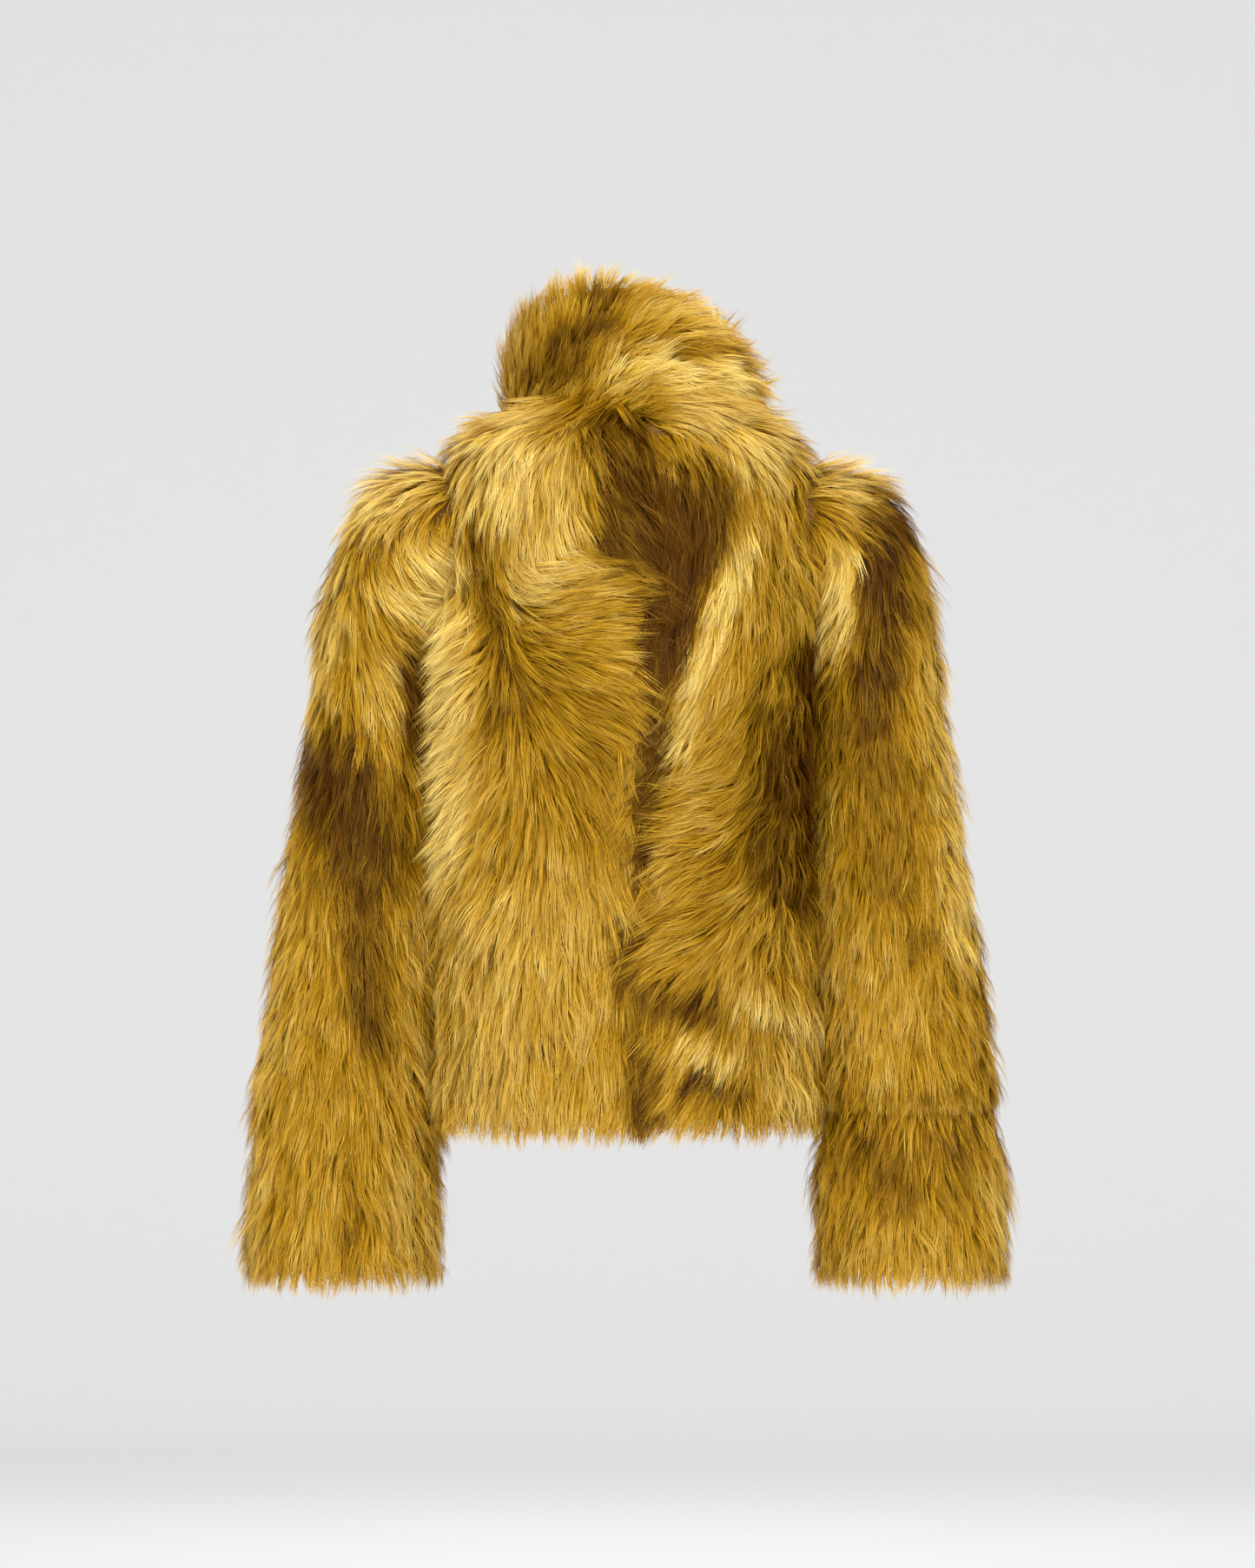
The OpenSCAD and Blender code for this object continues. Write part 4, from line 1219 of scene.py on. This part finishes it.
class JacketColours(bpy.types.PropertyGroup):
    # The dark ramp, root to shade_tip, colours the hair's own dark partings and also the painted shade in the
    # centre back groove, the creases, the armholes and under the right cuff band's step.
    root: colour_of("Dark root", "the darkest roots", "#1c0e00")
    shade: colour_of("Dark middle", "the hair in a parting", "#442300")
    shade_tip: colour_of("Dark tip", "the tips of dark hair", "#683e00")
    gold: colour_of("Gold", "the middle of gold hair", "#ac7c02")
    gold_tip: colour_of("Gold tip", "the tips of gold hair", "#cfa02a")
    pale_root: colour_of("Pale root", "the roots of pale hair", "#9c6c0e")
    pale: colour_of("Pale", "the middle of pale hair", "#f2c94c")
    tip: colour_of("Pale tip", "the palest tips", "#ffee9c")
    undercoat: colour_of("Undercoat", "the wool under the hair", "#8a5f0c")
    leather: colour_of("Leather", "the skin side", "#c9a878")
    leather_shade: colour_of("Leather shade", "its nap", "#a98755")
    lining: colour_of("Lining", "the lining's floats", "#9a7434")
    lining_shade: colour_of("Lining shade", "the gaps between its floats", "#6e5020")
    tape: colour_of("Tape", "cotton and wadding", "#e9e2d2")
    tape_shade: colour_of("Tape shade", "the gaps between their threads", "#cfc6b2")
    wire: colour_of("Wire", "the thread on the closures", "#a98a4c")
    wire_shade: colour_of("Wire shade", "the gaps between its turns", "#6d5526")
    # The floor is darker than the backdrop: painted shade that evens out the stronger light falling on the
    # floor.
    backdrop: colour_of("Backdrop", "the studio paper's wall", "#ebebeb")
    floor: colour_of("Floor", "the studio paper's floor", "#d5d5d5")


# ---------------------------------------------------------------- operators


class JACKET_OT_body_fur(bpy.types.Operator):
    """Makes the fur panels of the body and the fronts"""

    bl_idname = "jacket.body_fur"
    bl_label = "Body fur"

    def execute(self, context):
        sizes = context.scene.jacket_sizes

        def length(points):
            near_hem = ease((points[:, 2] - HEM_Z) / (60 * MM))
            return sizes.body_pile * (0.5 + 0.5 * near_hem)

        for number, side_name in enumerate(SIDES):
            for k, panel in enumerate(body_panels(side_name)):
                make_panel(panel, length, 1.0, sizes.untidiness, SEED + 10 * number + k)
        return {"FINISHED"}


class JACKET_OT_sleeve_fur(bpy.types.Operator):
    """Makes the fur panels of the sleeves and the cuff bands"""

    bl_idname = "jacket.sleeve_fur"
    bl_label = "Sleeve fur"

    def execute(self, context):
        sizes = context.scene.jacket_sizes

        def length(points):
            near_cuff = ease((points[:, 2] - CUFF_Z) / (50 * MM))
            return sizes.sleeve_pile * (0.55 + 0.45 * near_cuff)

        for number, side_name in enumerate(SIDES):
            for k, panel in enumerate(sleeve_panels(side_name)):
                make_panel(panel, length, 0.85, sizes.untidiness, SEED + 40 + 10 * number + k)
        return {"FINISHED"}


class JACKET_OT_collar_fur(bpy.types.Operator):
    """Makes the fur panels of the standing collar"""

    bl_idname = "jacket.collar_fur"
    bl_label = "Collar fur"

    def execute(self, context):
        sizes = context.scene.jacket_sizes

        def length(points):
            near_top = ease((COLLAR_TOP_Z - points[:, 2]) / (70 * MM))
            above_seam = ease((points[:, 2] + 5 * MM) / (25 * MM))
            return sizes.collar_pile * (0.62 + 0.38 * near_top) * (0.7 + 0.3 * above_seam)

        for k, panel in enumerate(collar_panels()):
            make_panel(panel, length, 0.9, sizes.untidiness * 1.5, SEED + 80 + k)
        return {"FINISHED"}


class JACKET_OT_linings(bpy.types.Operator):
    """Makes the linings, facings, tapes, pads and hanger loop, and finishes the closures"""

    bl_idname = "jacket.linings"
    bl_label = "Linings and facings"

    def execute(self, context):
        for layer in body_layers() + sleeve_layers():
            make_layer(layer)
        for side_name, side in SIDES.items():
            shoulder, _ = sleeve_bends(side_name)
            make_pad(f"shoulder_pad_{side_name}_wadding", Patch("body", side, -34, 34, 0.9, 2.1), PAD_D, 8 * MM,
                     f"shoulder_pad_{side_name}")
            make_pad(f"sleeve_head_roll_{side_name}_wadding", Patch("sleeve", side, -50, 50, 0.3, 1.1),
                     SLEEVE_LINING_D,
                     4 * MM, f"sleeve_head_roll_{side_name}", bend=shoulder)
        make_hanger_loop()
        for name in ("closure_eyes", "closure_hooks"):
            obj = frame["nodes"][name]
            for slot in obj.material_slots:
                slot.material = finish_of("wire")
        return {"FINISHED"}


class JACKET_OT_studio(bpy.types.Operator):
    """Makes the plain floor and backdrop, the soft lights and the camera behind the wearer"""

    bl_idname = "jacket.studio"
    bl_label = "Studio"
    # Each lamp's name, place, size in metres and power in watts.
    LAMPS = [
        ("key", (-0.9, 3.4, 1.5), 1.6, 84), ("fill", (1.9, 3.2, 0.3), 2.2, 46),
        ("top", (0.0, 0.6, 2.6), 2.0, 35), ("front", (0.0, -3.4, 1.2), 2.5, 52),
    ]

    def execute(self, context):
        scene = context.scene
        colours = scene.jacket_colours
        paper, tree, shader = new_material("Matte studio paper", 0.9)
        place = add(tree, "ShaderNodeSeparateXYZ",
                    inputs={"Vector": add(tree, "ShaderNodeTexCoord").outputs["Object"]})
        # Painted shade: the floor's paper is darker than the wall's, to cancel the stronger light falling on the
        # floor so that both look evenly bright.
        share = add(tree, "ShaderNodeMapRange",
                    inputs={"Value": place.outputs["Y"], "From Min": -4.8, "From Max": -3.0})
        shading = add(tree, "ShaderNodeValToRGB", inputs={"Fac": share.outputs[0]},
                      stops=[(0.0, colours.backdrop), (1.0, colours.floor)])
        tree.links.new(shading.outputs["Color"], shader.inputs["Base Color"])
        shader.inputs["Specular IOR Level"].default_value = 0.1
        floor_z, bend_y, radius, far = -1.3, -4.2, 3.0, 40.0
        turns = np.linspace(0, math.pi / 2, 24)
        outline = [(far, floor_z), (bend_y + 0.2, floor_z)]
        outline += [(bend_y - radius * math.sin(a), floor_z + radius * (1 - math.cos(a))) for a in turns]
        outline += [(bend_y - radius, floor_z + radius + 0.2), (bend_y - radius, 12.0)]
        points = [(x, y, z) for y, z in outline for x in (-far, far)]
        faces = [(2 * k, 2 * k + 1, 2 * k + 3, 2 * k + 2) for k in range(len(outline) - 1)]
        sweep = add_mesh("studio_paper", points, faces)
        sweep.data.materials.append(paper)
        for name, place, size, power in self.LAMPS:
            data = bpy.data.lights.new(name, "AREA")
            data.size, data.energy = size, power
            lamp = bpy.data.objects.new(name, data)
            lamp.location = place
            lamp.visible_camera = False
            lamp.rotation_euler = (Vector((0, 0, -0.3)) - Vector(place)).to_track_quat("-Z", "Y").to_euler()
            scene.collection.objects.link(lamp)
        world = bpy.data.worlds.new("Soft room light")
        world.use_nodes = True
        world.node_tree.nodes["Background"].inputs["Color"].default_value = (1, 1, 1, 1)
        world.node_tree.nodes["Background"].inputs["Strength"].default_value = 0.84
        scene.world = world
        scene.view_settings.view_transform = "Standard"
        data = bpy.data.cameras.new("camera")
        distance, view_height, middle_z = 5.0, 1.2046, -0.294
        data.lens = data.sensor_width * distance / view_height
        camera = bpy.data.objects.new("camera", data)
        camera.location = (0, distance + 0.1, middle_z)
        camera.rotation_euler = (math.pi / 2, 0, math.pi)
        scene.collection.objects.link(camera)
        scene.camera = camera
        return {"FINISHED"}


OPERATORS = [JACKET_OT_studio, JACKET_OT_body_fur, JACKET_OT_sleeve_fur, JACKET_OT_collar_fur,
             JACKET_OT_linings]


class JACKET_PT_panel(bpy.types.Panel):
    """Lists the jacket's sizes, colours and pieces"""

    bl_label = "Fur jacket"
    bl_space_type = "VIEW_3D"
    bl_region_type = "UI"
    bl_category = "Jacket"

    def draw(self, context):
        for group in (context.scene.jacket_sizes, context.scene.jacket_colours):
            for name in group.__annotations__:
                self.layout.prop(group, name)
        for operator in OPERATORS:
            self.layout.operator(operator.bl_idname)


CLASSES = [JacketSizes, JacketColours, *OPERATORS, JACKET_PT_panel]


def register():
    for entry in CLASSES:
        bpy.utils.register_class(entry)
    bpy.types.Scene.jacket_sizes = PointerProperty(type=JacketSizes)
    bpy.types.Scene.jacket_colours = PointerProperty(type=JacketColours)


def unregister():
    del bpy.types.Scene.jacket_colours, bpy.types.Scene.jacket_sizes
    for entry in reversed(CLASSES):
        bpy.utils.unregister_class(entry)


def main():
    register()
    bpy.ops.jacket.studio()
    bpy.ops.jacket.body_fur()
    bpy.ops.jacket.sleeve_fur()
    bpy.ops.jacket.collar_fur()
    bpy.ops.jacket.linings()


if __name__ == "__main__":
    main()
